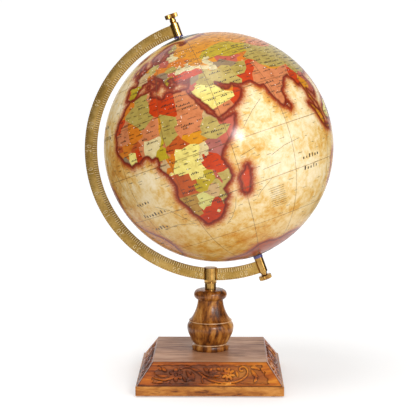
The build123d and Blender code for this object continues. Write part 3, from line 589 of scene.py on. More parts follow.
    ("denmark", "rust", "7.5 54.8, 7.5 58, 13 58, 12.5 54.6"),
    ("central europe", "orange", """9.6 47, 13.5 48.7, 12.5 50, 15 50.9, 22 49, 22.8 48, 20.5 46,
        16.5 46.4, 10.5 46.8"""),
    ("baltic", "cream", "21 54.5, 20.8 57.5, 28 59.6, 28 56, 32 54, 31 52, 24 51.5, 23.5 54"),
    ("madagascar", "brick", "42 -11, 52 -11, 52 -27, 42 -27"),
    ("britain", "rose", "-6.5 49.5, 2 50.5, 2.5 53, -1 59, -7 59, -5.5 55"),
    ("burma", "brick", """92 20.5, 92.8 22, 94 24, 97.5 28.3, 98.5 25, 101 21.5, 98 19, 98.5 15,
        98.8 10, 94 15"""),
    ("siam", "amber", """98 19, 101 20, 104.8 17, 105.5 14.5, 102.5 12.5, 100.5 13, 99.6 9, 102 6,
        100 6.3, 98 8.5, 98.5 15"""),
    ("indochina", "rose", """101 21.3, 105 22.7, 108 21.9, 110 12, 105 8, 102.5 12.5, 105.5 14.5,
        104.8 17, 101 20"""),
    ("malaya", "salmon", "100 6.5, 103 6.2, 105 1, 103 .8, 100 5"),
    ("borneo", "lemon", "108 8, 120 8, 120 -5, 108 -5"),
    ("new guinea", "rust", "130 1, 152 1, 152 -11, 141 -9.6, 130 -8"),
    ("australia", "amber", "113 -9.8, 154 -9.8, 154 -44, 113 -44"),
    ("queensland", "salmon", "138 -9.6, 138 -26, 141 -29, 154 -28.5, 154 -10"),
    ("new south wales", "olive", "141 -29, 154 -28.5, 151 -38, 141 -34.5"),
    ("victoria state", "rust", "141 -34.5, 150.5 -37.5, 148 -39.5, 141 -38.5"),
    ("south australia", "rose", "129 -26, 138 -26, 141 -29, 141 -38.5, 129 -31"),
    ("northern territory", "lemon", "129 -11, 138 -11, 138 -26, 129 -26"),
    ("new zealand", "olive", "166 -34, 179 -34, 179 -47, 166 -47"),
    ("canada", "salmon", "-141 84, -60 84, -50 46, -67 44, -75 45, -83 42, -95 49, -130 48, -141 60"),
    ("states", "olive", """-126 49, -95 49, -89 48, -83 46, -82.5 42, -79 43, -75 45, -70 46.5,
        -67 47.3, -66 44, -79 24, -97 25.8, -101.5 29.5, -106.5 31.8, -117.2 32.4, -127 40"""),
    ("alaska", "olive", "-141 72, -141 60, -130 55, -170 52, -172 67"),
    ("mexico", "brick", """-117.5 32.5, -106.5 31.8, -101.5 29.5, -97 25.8, -95 20, -86 22, -88 17.8,
        -92 14, -106 18, -116 27"""),
    ("central america", "lemon", "-92.5 13, -88.5 18, -82 16, -77 9, -80 6.5, -88 11"),
    ("west indies", "rust", "-86 24, -66 20, -66 17, -86 19.5"),
    ("greenland", "cream", "-75 84, -10 84, -20 70, -43 59, -56 66"),
    ("brazil", "mauve", "-74 -7, -66 2, -51 5, -34 -4, -38 -20, -53 -34, -58 -28, -58 -20, -65 -10"),
    ("argentina", "plum", "-68 -22, -58 -24, -53 -28, -58 -35, -65 -56, -71 -50, -70 -30"),
    ("chile", "rust", "-70 -17.5, -68 -22, -70 -30, -71.5 -50, -66 -56, -76 -56, -76 -40, -72 -20"),
    ("peru", "amber", "-82 -4, -75 0, -70 -5, -69 -17.5, -72 -19, -80 -10"),
    ("bolivia", "lemon", "-69 -17.5, -65 -10, -58 -20, -62 -22, -68 -22.5"),
    ("colombia", "orange", "-79 1, -75 0, -70 -4, -67 2, -72 7, -71 13, -78 9"),
    ("venezuela", "olive", "-72 7, -67 2, -61 4, -59 9, -71 12.5"),
    ("guiana", "rose", "-61 4, -59 9, -51 5, -56 2"),
    ("antarctica", "rust", "-180 -60, 180 -60, 180 -90, -180 -90"),
]
print(len(COASTS), "coasts,", len(LAKES), "lakes and", len(COUNTRIES), "countries written down")


# %% From written degrees to outlines
def outline(text):
    """Turn written degrees into an array of (longitude, latitude)."""
    return np.array([[float(v) for v in pair.split()] for pair in text.split(",")])


def divided(points, step):
    """Add points along a closed outline so that no side is longer than the step."""
    out = []
    for start, end in zip(points, np.roll(points, -1, axis=0)):
        parts = max(1, int(np.ceil(np.abs(end - start).max() / step)))
        out.extend(start + (end - start) * i / parts for i in range(parts))
    return np.array(out)


COAST_STEP, LAKE_STEP, BORDER_STEP = 1.1, 1.2, 2.0
CAPE_SIZE = 0.13


def roughened(points, size, seed):
    """Break a drawn coast into small capes and bays."""
    dice = np.random.default_rng(seed)
    fine = divided(points, COAST_STEP)
    return fine + dice.normal(0, size, fine.shape)


coast_outlines = {}
for number, (name, text) in enumerate(COASTS.items()):
    drawn = outline(text)
    if name == "antarctica":
        coast_outlines[name] = divided(drawn, BORDER_STEP)
    else:
        coast_outlines[name] = roughened(drawn, CAPE_SIZE, number)
lake_outlines = {name: divided(outline(text), LAKE_STEP) for name, text in LAKES.items()}
country_outlines = [(ink, divided(outline(text), BORDER_STEP)) for name, ink, text in COUNTRIES]
print("Africa's coast has", len(coast_outlines["africa"]), "points")

# %% [markdown]
# ## Cutting the ball's skin
# The skin is a fine net of triangles on the sphere.  Its points are the outlines above, a
# coarse grid in the open and a finer one near the coasts, where the map's dark glow needs
# it.  A constrained triangulation joins them in the plane of degrees without crossing any
# outline, and the points are then lifted on to the ball.  Each triangle carries the colour
# of its ink, and each point its distance from the nearest coast.

# %% Points on the ball
SKIN_RADIUS = 152.33 * MM
FACING_LONGITUDE = math.radians(37.5)
PRINT_LEAN = math.radians(4.6)
MAP_TILT = math.radians(19.2)

map_north = Vector((
    -math.sin(MAP_TILT) * math.cos(PRINT_LEAN),
    math.sin(PRINT_LEAN),
    math.cos(MAP_TILT) * math.cos(PRINT_LEAN),
))
map_front = (Vector((0, -1, 0)) + map_north * map_north.y).normalized()
map_east = map_north.cross(map_front)
print("the map's north points to", [round(v, 3) for v in map_north])


def directions(longitude, latitude):
    """Unit vectors from the ball's centre for arrays of degrees."""
    along = np.radians(longitude) - FACING_LONGITUDE
    up = np.radians(latitude)
    flat = np.cos(up)
    return (
        (flat * np.cos(along))[:, None] * np.array(map_front)
        + (flat * np.sin(along))[:, None] * np.array(map_east)
        + np.sin(up)[:, None] * np.array(map_north)
    )


# %% Which points are land
def inside(points, polygon):
    """Which points lie in a closed outline, by counting crossings."""
    x, y = points[:, 0], points[:, 1]
    within = np.zeros(len(points), bool)
    (low_x, low_y), (high_x, high_y) = polygon.min(0), polygon.max(0)
    near = np.flatnonzero((x >= low_x) & (x <= high_x) & (y >= low_y) & (y <= high_y))
    for (ax, ay), (bx, by) in zip(polygon, np.roll(polygon, -1, axis=0)):
        if ay == by:
            continue
        crosses = (ay > y[near]) != (by > y[near])
        cut = ax + (y[near] - ay) * (bx - ax) / (by - ay)
        within[near[crosses & (x[near] < cut)]] ^= True
    return within


def on_land(points):
    """Which points lie on a continent or island, its lakes among them."""
    land = np.zeros(len(points), bool)
    for shore in coast_outlines.values():
        land |= inside(points, shore)
    return land


# %% How far points are from the shore
SHORE_STEP = 0.4
shore_points = np.concatenate([divided(shore, SHORE_STEP) for shore in coast_outlines.values()])
# Antarctica's outline closes along the map's own edges, which are no coast.
shore_points = shore_points[np.abs(shore_points[:, 0]) < 179.7]
shore_points = shore_points[shore_points[:, 1] > -88]
shore_tree = kdtree.KDTree(len(shore_points))
for index, where in enumerate(directions(*shore_points.T)):
    shore_tree.insert(where, index)
shore_tree.balance()
print(len(shore_points), "points along the shores")


def degrees_from_shore(points):
    """Distance of each point from the nearest coast, in degrees of arc."""
    found = [shore_tree.find(where)[2] for where in directions(*points.T)]
    return np.degrees(2 * np.arcsin(np.minimum(np.array(found) / 2, 1)))


# %% Grids of points
def even_grid(step, offset=0.0):
    """Rows of points with about the same spacing everywhere on the ball."""
    rows = []
    for latitude in np.arange(-88 + offset, 88.1, step):
        count = max(6, int(360 * math.cos(math.radians(latitude)) / step))
        longitude = -179 + 358 * (np.arange(count) + 0.5) / count
        rows.append(np.stack([longitude, np.full(count, latitude)], axis=1))
    return np.concatenate(rows)


WORLD_EDGE, WORLD_TOP = 180, 90
FINE_STEP, COARSE_STEP, EDGE_STEP = 1.15, 2.9, 3.0
FINE_FROM, FINE_TO, COARSE_FROM = 0.35, 5.6, 5.4
fine_points = even_grid(FINE_STEP)
fine_distance = degrees_from_shore(fine_points)
fine_points = fine_points[(fine_distance > FINE_FROM) & (fine_distance < FINE_TO)]
coarse_points = even_grid(COARSE_STEP, 0.4)
coarse_points = coarse_points[degrees_from_shore(coarse_points) >= COARSE_FROM]
edge_latitudes = np.arange(-WORLD_TOP, WORLD_TOP + 0.1, EDGE_STEP)
edge_longitudes = np.arange(-WORLD_EDGE, WORLD_EDGE + 0.1, EDGE_STEP)[1:-1]
rim_points = [(side, latitude) for side in (-WORLD_EDGE, WORLD_EDGE) for latitude in edge_latitudes]
rim_points += [(longitude, top) for top in (-WORLD_TOP, WORLD_TOP) for longitude in edge_longitudes]
print(len(fine_points), "fine,", len(coarse_points), "coarse and", len(rim_points), "rim points")

# %% Triangulate along every outline
JUST_INSIDE = np.array([WORLD_EDGE - 0.05, WORLD_TOP - 0.1])
SAME_POINT = 0.0005
shores = list(coast_outlines.values()) + list(lake_outlines.values())
flat_points = [Vector(p) for p in np.concatenate([fine_points, coarse_points, rim_points])]
fixed_edges = []
for line in shores + [points for ink, points in country_outlines]:
    first = len(flat_points)
    kept = np.clip(line, -JUST_INSIDE, JUST_INSIDE)
    flat_points.extend(Vector(p) for p in kept)
    fixed_edges.extend((first + i, first + (i + 1) % len(kept)) for i in range(len(kept)))
cut_up = geometry.delaunay_2d_cdt(flat_points, fixed_edges, [], 0, SAME_POINT)
flat_points = np.array([p[:] for p in cut_up[0]])
triangles = np.array(cut_up[2])
centres = flat_points[triangles].mean(axis=1)
print("skin", len(flat_points), "points", len(triangles), "triangles")

# %% [markdown]
# The left and right edges of the flat map are the same meridian, and its top and bottom
# edges shrink to the poles, so doubled points are merged once the net is on the ball.

# %% Lift the net on to the ball and ink it
land = on_land(centres)
SEA_INK, LAKE_INK = "D9B36B", "CFC49A"
ink_colours = np.tile(np.array(screen_colour(SEA_INK)), (len(triangles), 1))
ink_colours[land] = screen_colour(INKS["amber"])
for ink, points in country_outlines:
    ink_colours[land & inside(centres, points)] = screen_colour(INKS[ink])
for shore in lake_outlines.values():
    ink_colours[inside(centres, shore)] = screen_colour(LAKE_INK)

shore_distance = degrees_from_shore(flat_points)
lifted = np.array(BALL_CENTRE) + SKIN_RADIUS * directions(*flat_points.T)
ball_skin = piece_from("ball_skin", lifted.tolist(), triangles.tolist())
skin_mesh = ball_skin.data
ink_layer = skin_mesh.attributes.new("ink", "FLOAT_COLOR", "CORNER")
ink_layer.data.foreach_set("color", np.repeat(ink_colours, 3, axis=0).astype(np.float32).ravel())
store_values(skin_mesh, "land", np.repeat(land, 3), "CORNER")
store_values(skin_mesh, "shore", shore_distance)

open_up(ball_skin)
bpy.ops.mesh.remove_doubles(threshold=0.00002)
bpy.ops.mesh.dissolve_degenerate(threshold=0.00001)
bpy.ops.mesh.select_all(action="SELECT")
bpy.ops.mesh.normals_make_consistent(inside=False)
bpy.ops.object.mode_set(mode="OBJECT")
bpy.ops.object.shade_smooth()
outward = [(v.co - BALL_CENTRE).normalized() for v in skin_mesh.vertices]
skin_mesh.normals_split_custom_set_from_vertices(outward)
print("skin faces", len(skin_mesh.polygons))

# %% [markdown]
# ## Lacquered antique print
# The sea is parchment: cream with amber stains, and painted shade makes it a deeper amber
# towards the ball's bottom and left side.  Along every coast a burnt, reddish brown glow fades
# outwards with a feathered edge.  The land is its country's ink, mottled as by damp, with a
# thin dark shoreline.  Meridians and parallels are drawn by the shader from the point's own
# longitude and latitude.  Painted shade also darkens and yellows the whole print on the ball's
# lower part.  A clear lacquer over it all gives the broad soft gloss.

# %% The print's finish
print_finish = Finish("lacquered_map_print")
where = print_finish.place()
stain_wide = print_finish.noise(where, 13, detail=4, rough=0.55, distortion=0.4)
stain_fine = print_finish.noise(where, 88, detail=9, rough=0.76, distortion=0.3)
position = print_finish.node("ShaderNodeSeparateXYZ")
print_finish.link(where, position.inputs["Vector"])
# Painted shade: the sea turns a deeper amber towards the ball's bottom and its left side, away from the
# lights.
lower_painted_shade = print_finish.span(
    position.outputs["Z"], BALL_CENTRE.z + 0.10, BALL_CENTRE.z - 0.15, -0.08, 0.10
)
left_painted_shade = print_finish.span(
    position.outputs["X"], BALL_CENTRE.x - 0.03, BALL_CENTRE.x - 0.13, 0.0, 0.03
)
stain_and_shade = print_finish.maths("ADD", print_finish.span(stain_wide, 0.3, 0.7, 0.36, 0.64), lower_painted_shade)
stain_and_shade = print_finish.maths("ADD", stain_and_shade, left_painted_shade)
stain_and_shade = print_finish.maths("ADD", stain_and_shade, print_finish.span(stain_fine, 0.3, 0.7, -0.17, 0.17))
sea = print_finish.ramp(stain_and_shade, [
    (0.34, "E6D6B4"), (0.46, "DFC898"), (0.56, "D4AE64"), (0.66, "C88E34"), (0.80, "A86812"),
])
shore = print_finish.read("shore")
feather = print_finish.noise(where, 420, detail=3, rough=0.65)
feathered = print_finish.span(feather, 0.3, 0.7, -0.85, 0.85)
shore_ragged = print_finish.maths("ADD", shore, feathered)
GLOW_REACH = 5.3
reach = print_finish.maths("DIVIDE", shore_ragged, GLOW_REACH)
glow = print_finish.ramp(reach, [
    (0.0, (1, 1, 1, 1)), (0.22, (0.97, 0.97, 0.97, 1)), (0.45, (0.66, 0.66, 0.66, 1)),
    (0.70, (0.22, 0.22, 0.22, 1)), (1.0, (0, 0, 0, 1)),
])
burnt = print_finish.ramp(print_finish.maths("DIVIDE", shore, GLOW_REACH), [
    (0.0, "641000"), (0.2, "8C2A02"), (0.45, "B25A12"), (1.0, "CE9640"),
])
sea = print_finish.mix(glow, sea, burnt)

ink = print_finish.read("ink", "Color")
damp = print_finish.ramp(stain_fine, [(0.3, "BCA478"), (0.5, "EFE4D0"), (0.7, "FFFFFF")])
ground = print_finish.mix(0.75, ink, damp, "MULTIPLY")
shoreline = print_finish.span(shore, 0.05, 0.75, 0.9, 0.0)
ground = print_finish.mix(shoreline, ground, "6A1E08")
land_mask = print_finish.read("land")
printed = print_finish.mix(land_mask, sea, ground)
print("print has", len(print_finish.nodes), "nodes so far")

# %% Meridians and parallels
local = print_finish.node("ShaderNodeVectorMath", operation="SUBTRACT")
local.inputs[1].default_value = BALL_CENTRE
print_finish.link(where, local.inputs[0])


def along_axis(direction):
    """How far a point lies from the ball's centre along one direction."""
    made = print_finish.node("ShaderNodeVectorMath", operation="DOT_PRODUCT")
    made.inputs[1].default_value = direction
    print_finish.link(local.outputs["Vector"], made.inputs[0])
    return made.outputs["Value"]


north_part = along_axis(map_north / SKIN_RADIUS)
longitude = print_finish.maths("ARCTAN2", along_axis(map_east), along_axis(map_front))
latitude = print_finish.maths("ARCSINE", north_part, 0.0)


LINE_WIDTH, MERIDIAN_SPACING, PARALLEL_SPACING = 0.17, 30, 22.5
# Whole spacings added so that a fraction is never taken of a negative number.
KEEP_POSITIVE = 100


def line_mask(angle, spacing, shift, widen=None):
    """1 on evenly spaced lines of an angle, 0 between them; the spacing is in degrees."""
    turns = print_finish.maths("DIVIDE", angle, math.radians(spacing))
    turns = print_finish.maths("ADD", turns, shift + KEEP_POSITIVE + 0.5)
    offset = print_finish.maths("FRACT", turns, 0.0)
    offset = print_finish.maths("SUBTRACT", offset, 0.5)
    offset = print_finish.maths("ABSOLUTE", offset, 0.0)
    limit = LINE_WIDTH / spacing
    if widen is not None:
        limit = print_finish.maths("DIVIDE", limit, widen)
    return print_finish.maths("LESS_THAN", offset, limit)


shrink = print_finish.maths("COSINE", latitude, 0.0)
facing_shift = (math.degrees(FACING_LONGITUDE) - 15) / MERIDIAN_SPACING
meridians = line_mask(longitude, MERIDIAN_SPACING, facing_shift, shrink)
parallels = line_mask(latitude, PARALLEL_SPACING, 0.0)
lines = print_finish.maths("MAXIMUM", meridians, parallels)
faded = print_finish.span(stain_fine, 0.35, 0.6, 0.35, 0.8)
lines = print_finish.maths("MULTIPLY", lines, faded)
printed = print_finish.mix(lines, printed, "6B4420")
# Painted shade: the whole print is darkened and yellowed towards the ball's bottom.
bottom_painted_shade = print_finish.span(
    position.outputs["Z"], BALL_CENTRE.z - 0.02, BALL_CENTRE.z - 0.15, 0.0, 1.0
)
painted_shade_tint = print_finish.mix(1.0, printed, "E2CC94", "MULTIPLY")
printed = print_finish.mix(bottom_painted_shade, printed, painted_shade_tint)
print_finish.colour(printed)
print_finish.fixed(
    Roughness=0.45, Specular_IOR_Level=0.12, Coat_Weight=0.5, Coat_Roughness=0.18, Coat_IOR=1.5
)
dress(ball_skin, print_finish)
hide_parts("north_hemisphere", "south_hemisphere")
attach(ball_skin, "globe")

# %% [markdown]
# ## Place names and towns
# Names on the map are far too small to read at arm's length: they show as rows of tiny dark
# marks.  They are made as such rows, upright strokes of different heights with no letters
# in them, laid along the parallels.  Towns are pale dots.  All of them are thin flecks of
# ink a hair's breadth above the skin.

# %% A patch of ink and a row of strokes
dice = random.Random(11)
stroke_corners = []
dot_corners = []
NAME_LIFT, ROUTE_LIFT, TOWN_LIFT = 0.05, 0.04, 0.06


def flat_patch(longitude, latitude, corner_offsets, lift):
    """Corners on the ball, each offset (east, north) in mm from a place."""
    centre = directions(np.array([longitude]), np.array([latitude]))[0]
    east = np.cross(np.array(map_north), centre)
    east /= np.linalg.norm(east)
    north = np.cross(centre, east)
    corners = []
    for right, up in corner_offsets:
        spot = centre * SKIN_RADIUS + (east * right + north * up) * MM
        spot *= (SKIN_RADIUS + lift * MM) / np.linalg.norm(spot)
        corners.append(np.array(BALL_CENTRE) + spot)
    return corners


STROKE_PITCH = 0.78


def write_marks(longitude, latitude, letters, size, spread=1.0):
    """One name: a row of strokes centred on a place."""
    pitch = STROKE_PITCH * size * spread
    start = -pitch * (letters - 1) / 2
    for i in range(letters):
        tall = size * dice.choice((0.55, 0.6, 0.6, 0.95))
        wide = size * dice.uniform(0.3, 0.55)
        left, right = start + i * pitch - wide / 2, start + i * pitch + wide / 2
        foot, head = -size / 2, tall - size / 2
        stroke = [(left, foot), (right, foot), (right, head), (left, head)]
        stroke_corners.append(flat_patch(longitude, latitude, stroke, NAME_LIFT))


# %% Names over land and along the coasts
NAME_ROWS, NAME_COLUMNS = 2.5, 5.9
name_spots = []
for latitude in np.arange(-78, 82, NAME_ROWS):
    step = NAME_COLUMNS / max(0.2, math.cos(math.radians(latitude)))
    for longitude in np.arange(-178, 178, step):
        name_spots.append((longitude + dice.uniform(-1.2, 1.2), latitude + dice.uniform(-0.8, 0.8)))
name_spots = np.array(name_spots)
spot_distance = degrees_from_shore(name_spots)
spot_on_land = on_land(name_spots)
for (longitude, latitude), distance, dry in zip(name_spots, spot_distance, spot_on_land):
    if dry and distance > 0.9:
        write_marks(longitude, latitude, dice.randint(4, 8), dice.choice((1.5, 1.7, 2.0, 2.8)))
    elif not dry and distance > 2.6 and (distance < 6.5 or dice.random() < 0.15):
        write_marks(longitude, latitude, dice.randint(4, 9), 1.2)

print(len(stroke_corners), "strokes of small names")

# %% Names in the open sea
OCEAN_NAMES = [
    (86.7, -18.2, 6), (86.4, -23.6, 5), (-11.4, -13.9, 5), (-8.1, -20.8, 8), (-10.8, -28.8, 5),
    (-35, 28, 5), (-33, 22, 8), (-150, 12, 7), (-150, 5, 5), (-125, -25, 5), (-125, -31, 7),
    (165, 30, 5), (165, 24, 7), (150, -55, 8), (-70, -58, 8),
]
for longitude, latitude, letters in OCEAN_NAMES:
    write_marks(longitude, latitude, letters, 5.0, spread=1.5)

# A block of small print in the open sea south-east of Madagascar.
for row in range(10):
    write_marks(61.6 + 0.2 * row, -27.6 - 1.15 * row, 26 - row % 3, 1.1)
print(len(stroke_corners), "strokes with the oceans' names")

# %% Ships' routes and currents, as fine lines
ROUTE_PARTS, ROUTE_HALF_WIDTH = 12, 0.2 * MM
ROUTES = [
    [(53.6, 4.9), (60, 10.5), (66.7, 14.8)], [(50.5, -29.5), (52.7, -27.1), (59.7, -22.8)],
    [(29, -38.5), (33.5, -35.5), (37.5, -30.5), (39.4, -25.4)],
    [(-4, -17.5), (3.3, -21.6), (12.1, -32.1)],
    [(-9, -30.5), (1.3, -30.0), (13.1, -32.4)], [(62, -12), (70, -9.5), (80, -8.5)],
    [(-30, 12), (-24, 4), (-20, -6)], [(56.3, -17.2), (66.3, -16.6)], [(47.3, -7.6), (55.4, -5.9)],
]
route_radius = SKIN_RADIUS + ROUTE_LIFT * MM
for route in ROUTES:
    for start, end in zip(route, route[1:]):
        stops = np.linspace(start, end, ROUTE_PARTS + 1)
        spots = directions(*stops.T)
        for one, two in zip(spots, spots[1:]):
            across = np.cross(one, two)
            across *= ROUTE_HALF_WIDTH / np.linalg.norm(across)
            ends = (one, 1), (two, 1), (two, -1), (one, -1)
            stroke_corners.append([
                np.array(BALL_CENTRE) + spot * route_radius + across * side for spot, side in ends
            ])
print(len(stroke_corners), "flecks of dark ink")

# %% Towns
TOWNS_EVERYWHERE, TOWNS_IN_EUROPE = 900, 80
HEXAGON = [(math.cos(i * math.pi / 3), math.sin(i * math.pi / 3)) for i in range(6)]
town_spots = [
    (dice.uniform(-178, 178), math.degrees(math.asin(dice.uniform(-0.7, 0.95))))
    for i in range(TOWNS_EVERYWHERE)
]
town_spots += [(dice.uniform(-8, 45), dice.uniform(36, 58)) for i in range(TOWNS_IN_EUROPE)]
town_spots = np.array(town_spots)
for longitude, latitude in town_spots[on_land(town_spots)]:
    radius = dice.choice((0.42, 0.5, 0.62))
    dot = [(c * radius, s * radius) for c, s in HEXAGON]
    dot_corners.append(flat_patch(longitude, latitude, dot, TOWN_LIFT))
print(len(dot_corners), "towns")


# %% The flecks become two pieces
def patches(name, groups):
    """One piece from many separate small faces."""
    points = [corner for group in groups for corner in group]
    faces = []
    first = 0
    for group in groups:
        faces.append(tuple(range(first, first + len(group))))
        first += len(group)
    return piece_from(name, points, faces)


def fleck_finish(name, scale, stops):
    """Ink under the same lacquer as the map."""
    finish = Finish(name)
    wear = finish.noise(finish.place(), scale, detail=2)
    finish.colour(finish.ramp(wear, stops))
    finish.fixed(Roughness=0.4, Coat_Weight=0.3, Coat_Roughness=0.15)
    return finish


map_names = patches("map_names", stroke_corners)
map_towns = patches("map_towns", dot_corners)
ink_finish = fleck_finish("printing_ink", 700, [(0.35, "140A04"), (0.7, "3A2210")])
town_finish = fleck_finish("town_dots", 500, [(0.3, "F0DCC8"), (0.7, "FFFBF2")])
for piece, finish in ((map_names, ink_finish), (map_towns, town_finish)):
    dress(piece, finish)
    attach(piece, "globe")
print("names have", len(map_names.data.polygons), "faces")

# %% [markdown]
# ## The brass arc and its scale
# The arc is a flat half ring of brass, cut from sheet and engraved on both faces with a
# scale of latitude: a long stroke for every degree at the inner edge, short ones at the
# outer edge, and numbers from 0 in the middle to 80 near each end.  The strip is one section
# with small rounded edges, spun half a turn round the arc's own centre, which lies a few
# millimetres off the ball's.  The engraving catches the light on one side of each cut and is
# dark on the other.  This is painted: every stroke and number is a thin bright mark, a
# painted highlight, over a dark one, a painted shadow.

# %% The strip
ARC_INNER, ARC_OUTER, ARC_THICK = 159.0, 175.45, 2.86
ARC_EDGE_ROUND, ARC_STEPS = 0.35, 177
END_GAP = math.radians(0.3)
ARC_PLACE = LEAN @ Matrix.Translation((-4.0 * MM, 0, -3.0 * MM))
pick_nothing()
bpy.ops.mesh.primitive_plane_add(size=1, location=((ARC_INNER + ARC_OUTER) / 2 * MM, 0, 0))
arc_strip = bpy.context.object
arc_strip.scale = ((ARC_OUTER - ARC_INNER) * MM, ARC_THICK * MM, 1)
settle(arc_strip)
open_up(arc_strip)
bpy.ops.mesh.bevel(offset=ARC_EDGE_ROUND * MM, segments=2, affect="VERTICES")
bpy.ops.object.mode_set(mode="OBJECT")
arc_strip.data.transform(Matrix.Rotation(math.radians(-90) - END_GAP, 4, "Y"))
open_up(arc_strip)
bpy.ops.mesh.spin(
    steps=ARC_STEPS, angle=math.pi - 2 * END_GAP, center=(0, 0, 0), axis=(0, 1, 0)
)
bpy.ops.object.mode_set(mode="OBJECT")


def close_ends(piece):
    """Fill whatever rings of open edges a piece still has."""
    open_up(piece)
    bpy.ops.mesh.remove_doubles(threshold=0.000005)
    bpy.ops.mesh.select_all(action="DESELECT")
    bpy.ops.mesh.select_non_manifold(extend=False)
    bpy.ops.mesh.fill_holes(sides=0)
    bpy.ops.mesh.select_all(action="SELECT")
    bpy.ops.mesh.normals_make_consistent(inside=False)
    bpy.ops.object.mode_set(mode="OBJECT")


close_ends(arc_strip)
arc_strip.data.transform(ARC_PLACE)
pick(arc_strip)
bpy.ops.object.shade_smooth_by_angle(angle=math.radians(25))
arc_strip.name = "arc_strip"
print("strip has", len(arc_strip.data.polygons), "faces, size", arc_strip.dimensions[:])


# %% [markdown]
# ### Marks of the scale
# A mark is placed by the angle from the arc's middle, its distance from the ball's centre
# and the side of the strip it lies on.  Its top points away from the ball.

# %% Placing marks on the two faces
def on_the_arc(angle, radius, front):
    """Where a mark lies: its x runs along the arc, its y outwards, its z off the face."""
    outward = Vector((-math.cos(angle), 0, math.sin(angle)))
    off_face = Vector((0, -1 if front else 1, 0))
    along = outward.cross(off_face)
    spot = outward * radius * MM + off_face * (ARC_THICK / 2) * MM
    turn = Matrix((along, outward, off_face)).transposed().to_4x4()
    return ARC_PLACE @ Matrix.Translation(spot) @ turn


def copy_of(piece, name, place):
    """A copy with its own mesh, put in place."""
    made = piece.copy()
    made.data = piece.data.copy()
    made.name = name
    made.data.transform(place)
    bpy.context.collection.objects.link(made)
    return made


def scale_stroke(name, start, length, width, thick):
    """One stroke, standing outwards from its starting radius."""
    pick_nothing()
    bpy.ops.mesh.primitive_cube_add(size=1, location=(0, (start + length / 2) * MM, 0))
    made = bpy.context.object
    made.scale = (width * MM, length * MM, thick * 2 * MM)
    made.name = name
    return settle(made)


# The engraved degrees are a little wider than true ones: the 80 lies nearly 83 degrees out.
SCALE_STRETCH, SCALE_END = 1.034, 84
# How far marks and their shades stand off the face, and how far a shade lies beside its mark.
BRIGHT, DARK = 0.045, 0.02
SHADE_TURN, SHADE_ASIDE = math.radians(0.26), 0.4
# For each kind: its start from the inner edge, its length, and the widths of mark and shade.
STROKE_KINDS = {
    "one": (0.6, 5.2, 0.95, 1.2), "five": (0.6, 6.0, 1.0, 1.3), "edge": (14.2, 1.7, 0.6, 0.8),
}
patterns = {}
for kind, (start, length, width, shade_width) in STROKE_KINDS.items():
    mark = scale_stroke(kind, start, length, width, BRIGHT)
    patterns[kind] = mark, scale_stroke(kind + "_shade", start, length, shade_width, DARK)
bright_strokes, dark_strokes = [], []
for front in (True, False):
    for degree in range(-SCALE_END, SCALE_END + 1):
        angle = math.radians(degree) * SCALE_STRETCH
        for kind in ("five" if degree % 5 == 0 else "one", "edge"):
            bright, dark = patterns[kind]
            bright_strokes.append(copy_of(bright, "stroke", on_the_arc(angle, ARC_INNER, front)))
            beside = on_the_arc(angle - SHADE_TURN, ARC_INNER, front)
            dark_strokes.append(copy_of(dark, "stroke_shade", beside))
for bright, dark in patterns.values():
    bpy.data.objects.remove(bright)
    bpy.data.objects.remove(dark)
print(len(bright_strokes), "strokes")


# %% The numbers
NUMBER_SIZE, NUMBER_RADIUS, NUMBER_WEIGHT = 9.0, ARC_INNER + 10.4, 0.06


def engraved_number(degree, front, thick, aside):
    """A number lying on the strip, its top away from the ball."""
    pick_nothing()
    bpy.ops.object.text_add(location=(0, 0, 0))
    number = bpy.context.object
    number.data.body = str(abs(degree))
    number.data.align_x = "CENTER"
    number.data.align_y = "CENTER"
    number.data.size = NUMBER_SIZE * MM
    number.data.space_character = 1.35
    number.data.offset = NUMBER_WEIGHT * MM
    number.data.extrude = thick * MM
    number.data.resolution_u = 3
    bpy.ops.object.convert(target="MESH")
    number = bpy.context.object
    number.data.transform(Matrix.Translation((-aside * MM, -aside * MM, 0)))
    angle = math.radians(degree) * SCALE_STRETCH
    number.data.transform(on_the_arc(angle, NUMBER_RADIUS, front))
    return number


for front in (True, False):
    for degree in range(-80, 81, 10):
        bright_strokes.append(engraved_number(degree, front, BRIGHT, 0))
        dark_strokes.append(engraved_number(degree, front, DARK, SHADE_ASIDE))
arc_shade = join_all(dark_strokes, "arc_scale_shade")
merge_and_face_out(arc_shade, 0.000001)
arc_marks = join_all(bright_strokes, "arc_scale_marks")
merge_and_face_out(arc_marks, 0.000001)
print("marks have", len(arc_marks.data.polygons), "faces")

# %% [markdown]
# ### Brass, aged and polished
# The arc is satin brass gone olive and brown with handling; its scale marks are a painted
# highlight of lighter brass over a painted shadow.  The posts and screws are lacquered and bright.

# %% Brass finishes
aged = Finish("aged_satin_brass")
where = aged.place()
clouds = aged.noise(where, 24, detail=7, rough=0.6, distortion=0.3)
scuffs = aged.noise(aged.place(), 420, detail=4, rough=0.7)
mixed = aged.maths("ADD", clouds, aged.span(scuffs, 0.3, 0.7, -0.10, 0.10))
aged.colour(aged.ramp(mixed, [
    (0.30, "8C6C34"), (0.45, "A98644"), (0.58, "C09B56"), (0.74, "D4B370"),
]))
aged.roughness(aged.span(mixed, 0.3, 0.75, 0.42, 0.28))
aged.bump(scuffs, 0.00004, 0.35)
aged.fixed(Metallic=1.0)

# Painted highlight: the lit side of each engraved cut, as light brass marks.
bright_mark = Finish("brass_marks_painted_highlight")
speckle = bright_mark.noise(bright_mark.place(), 900, detail=3)
bright_mark.colour(bright_mark.ramp(speckle, [(0.34, "A88848"), (0.5, "D6BA82"), (0.7, "F2DEB4")]))
bright_mark.fixed(Metallic=1.0, Roughness=0.34)
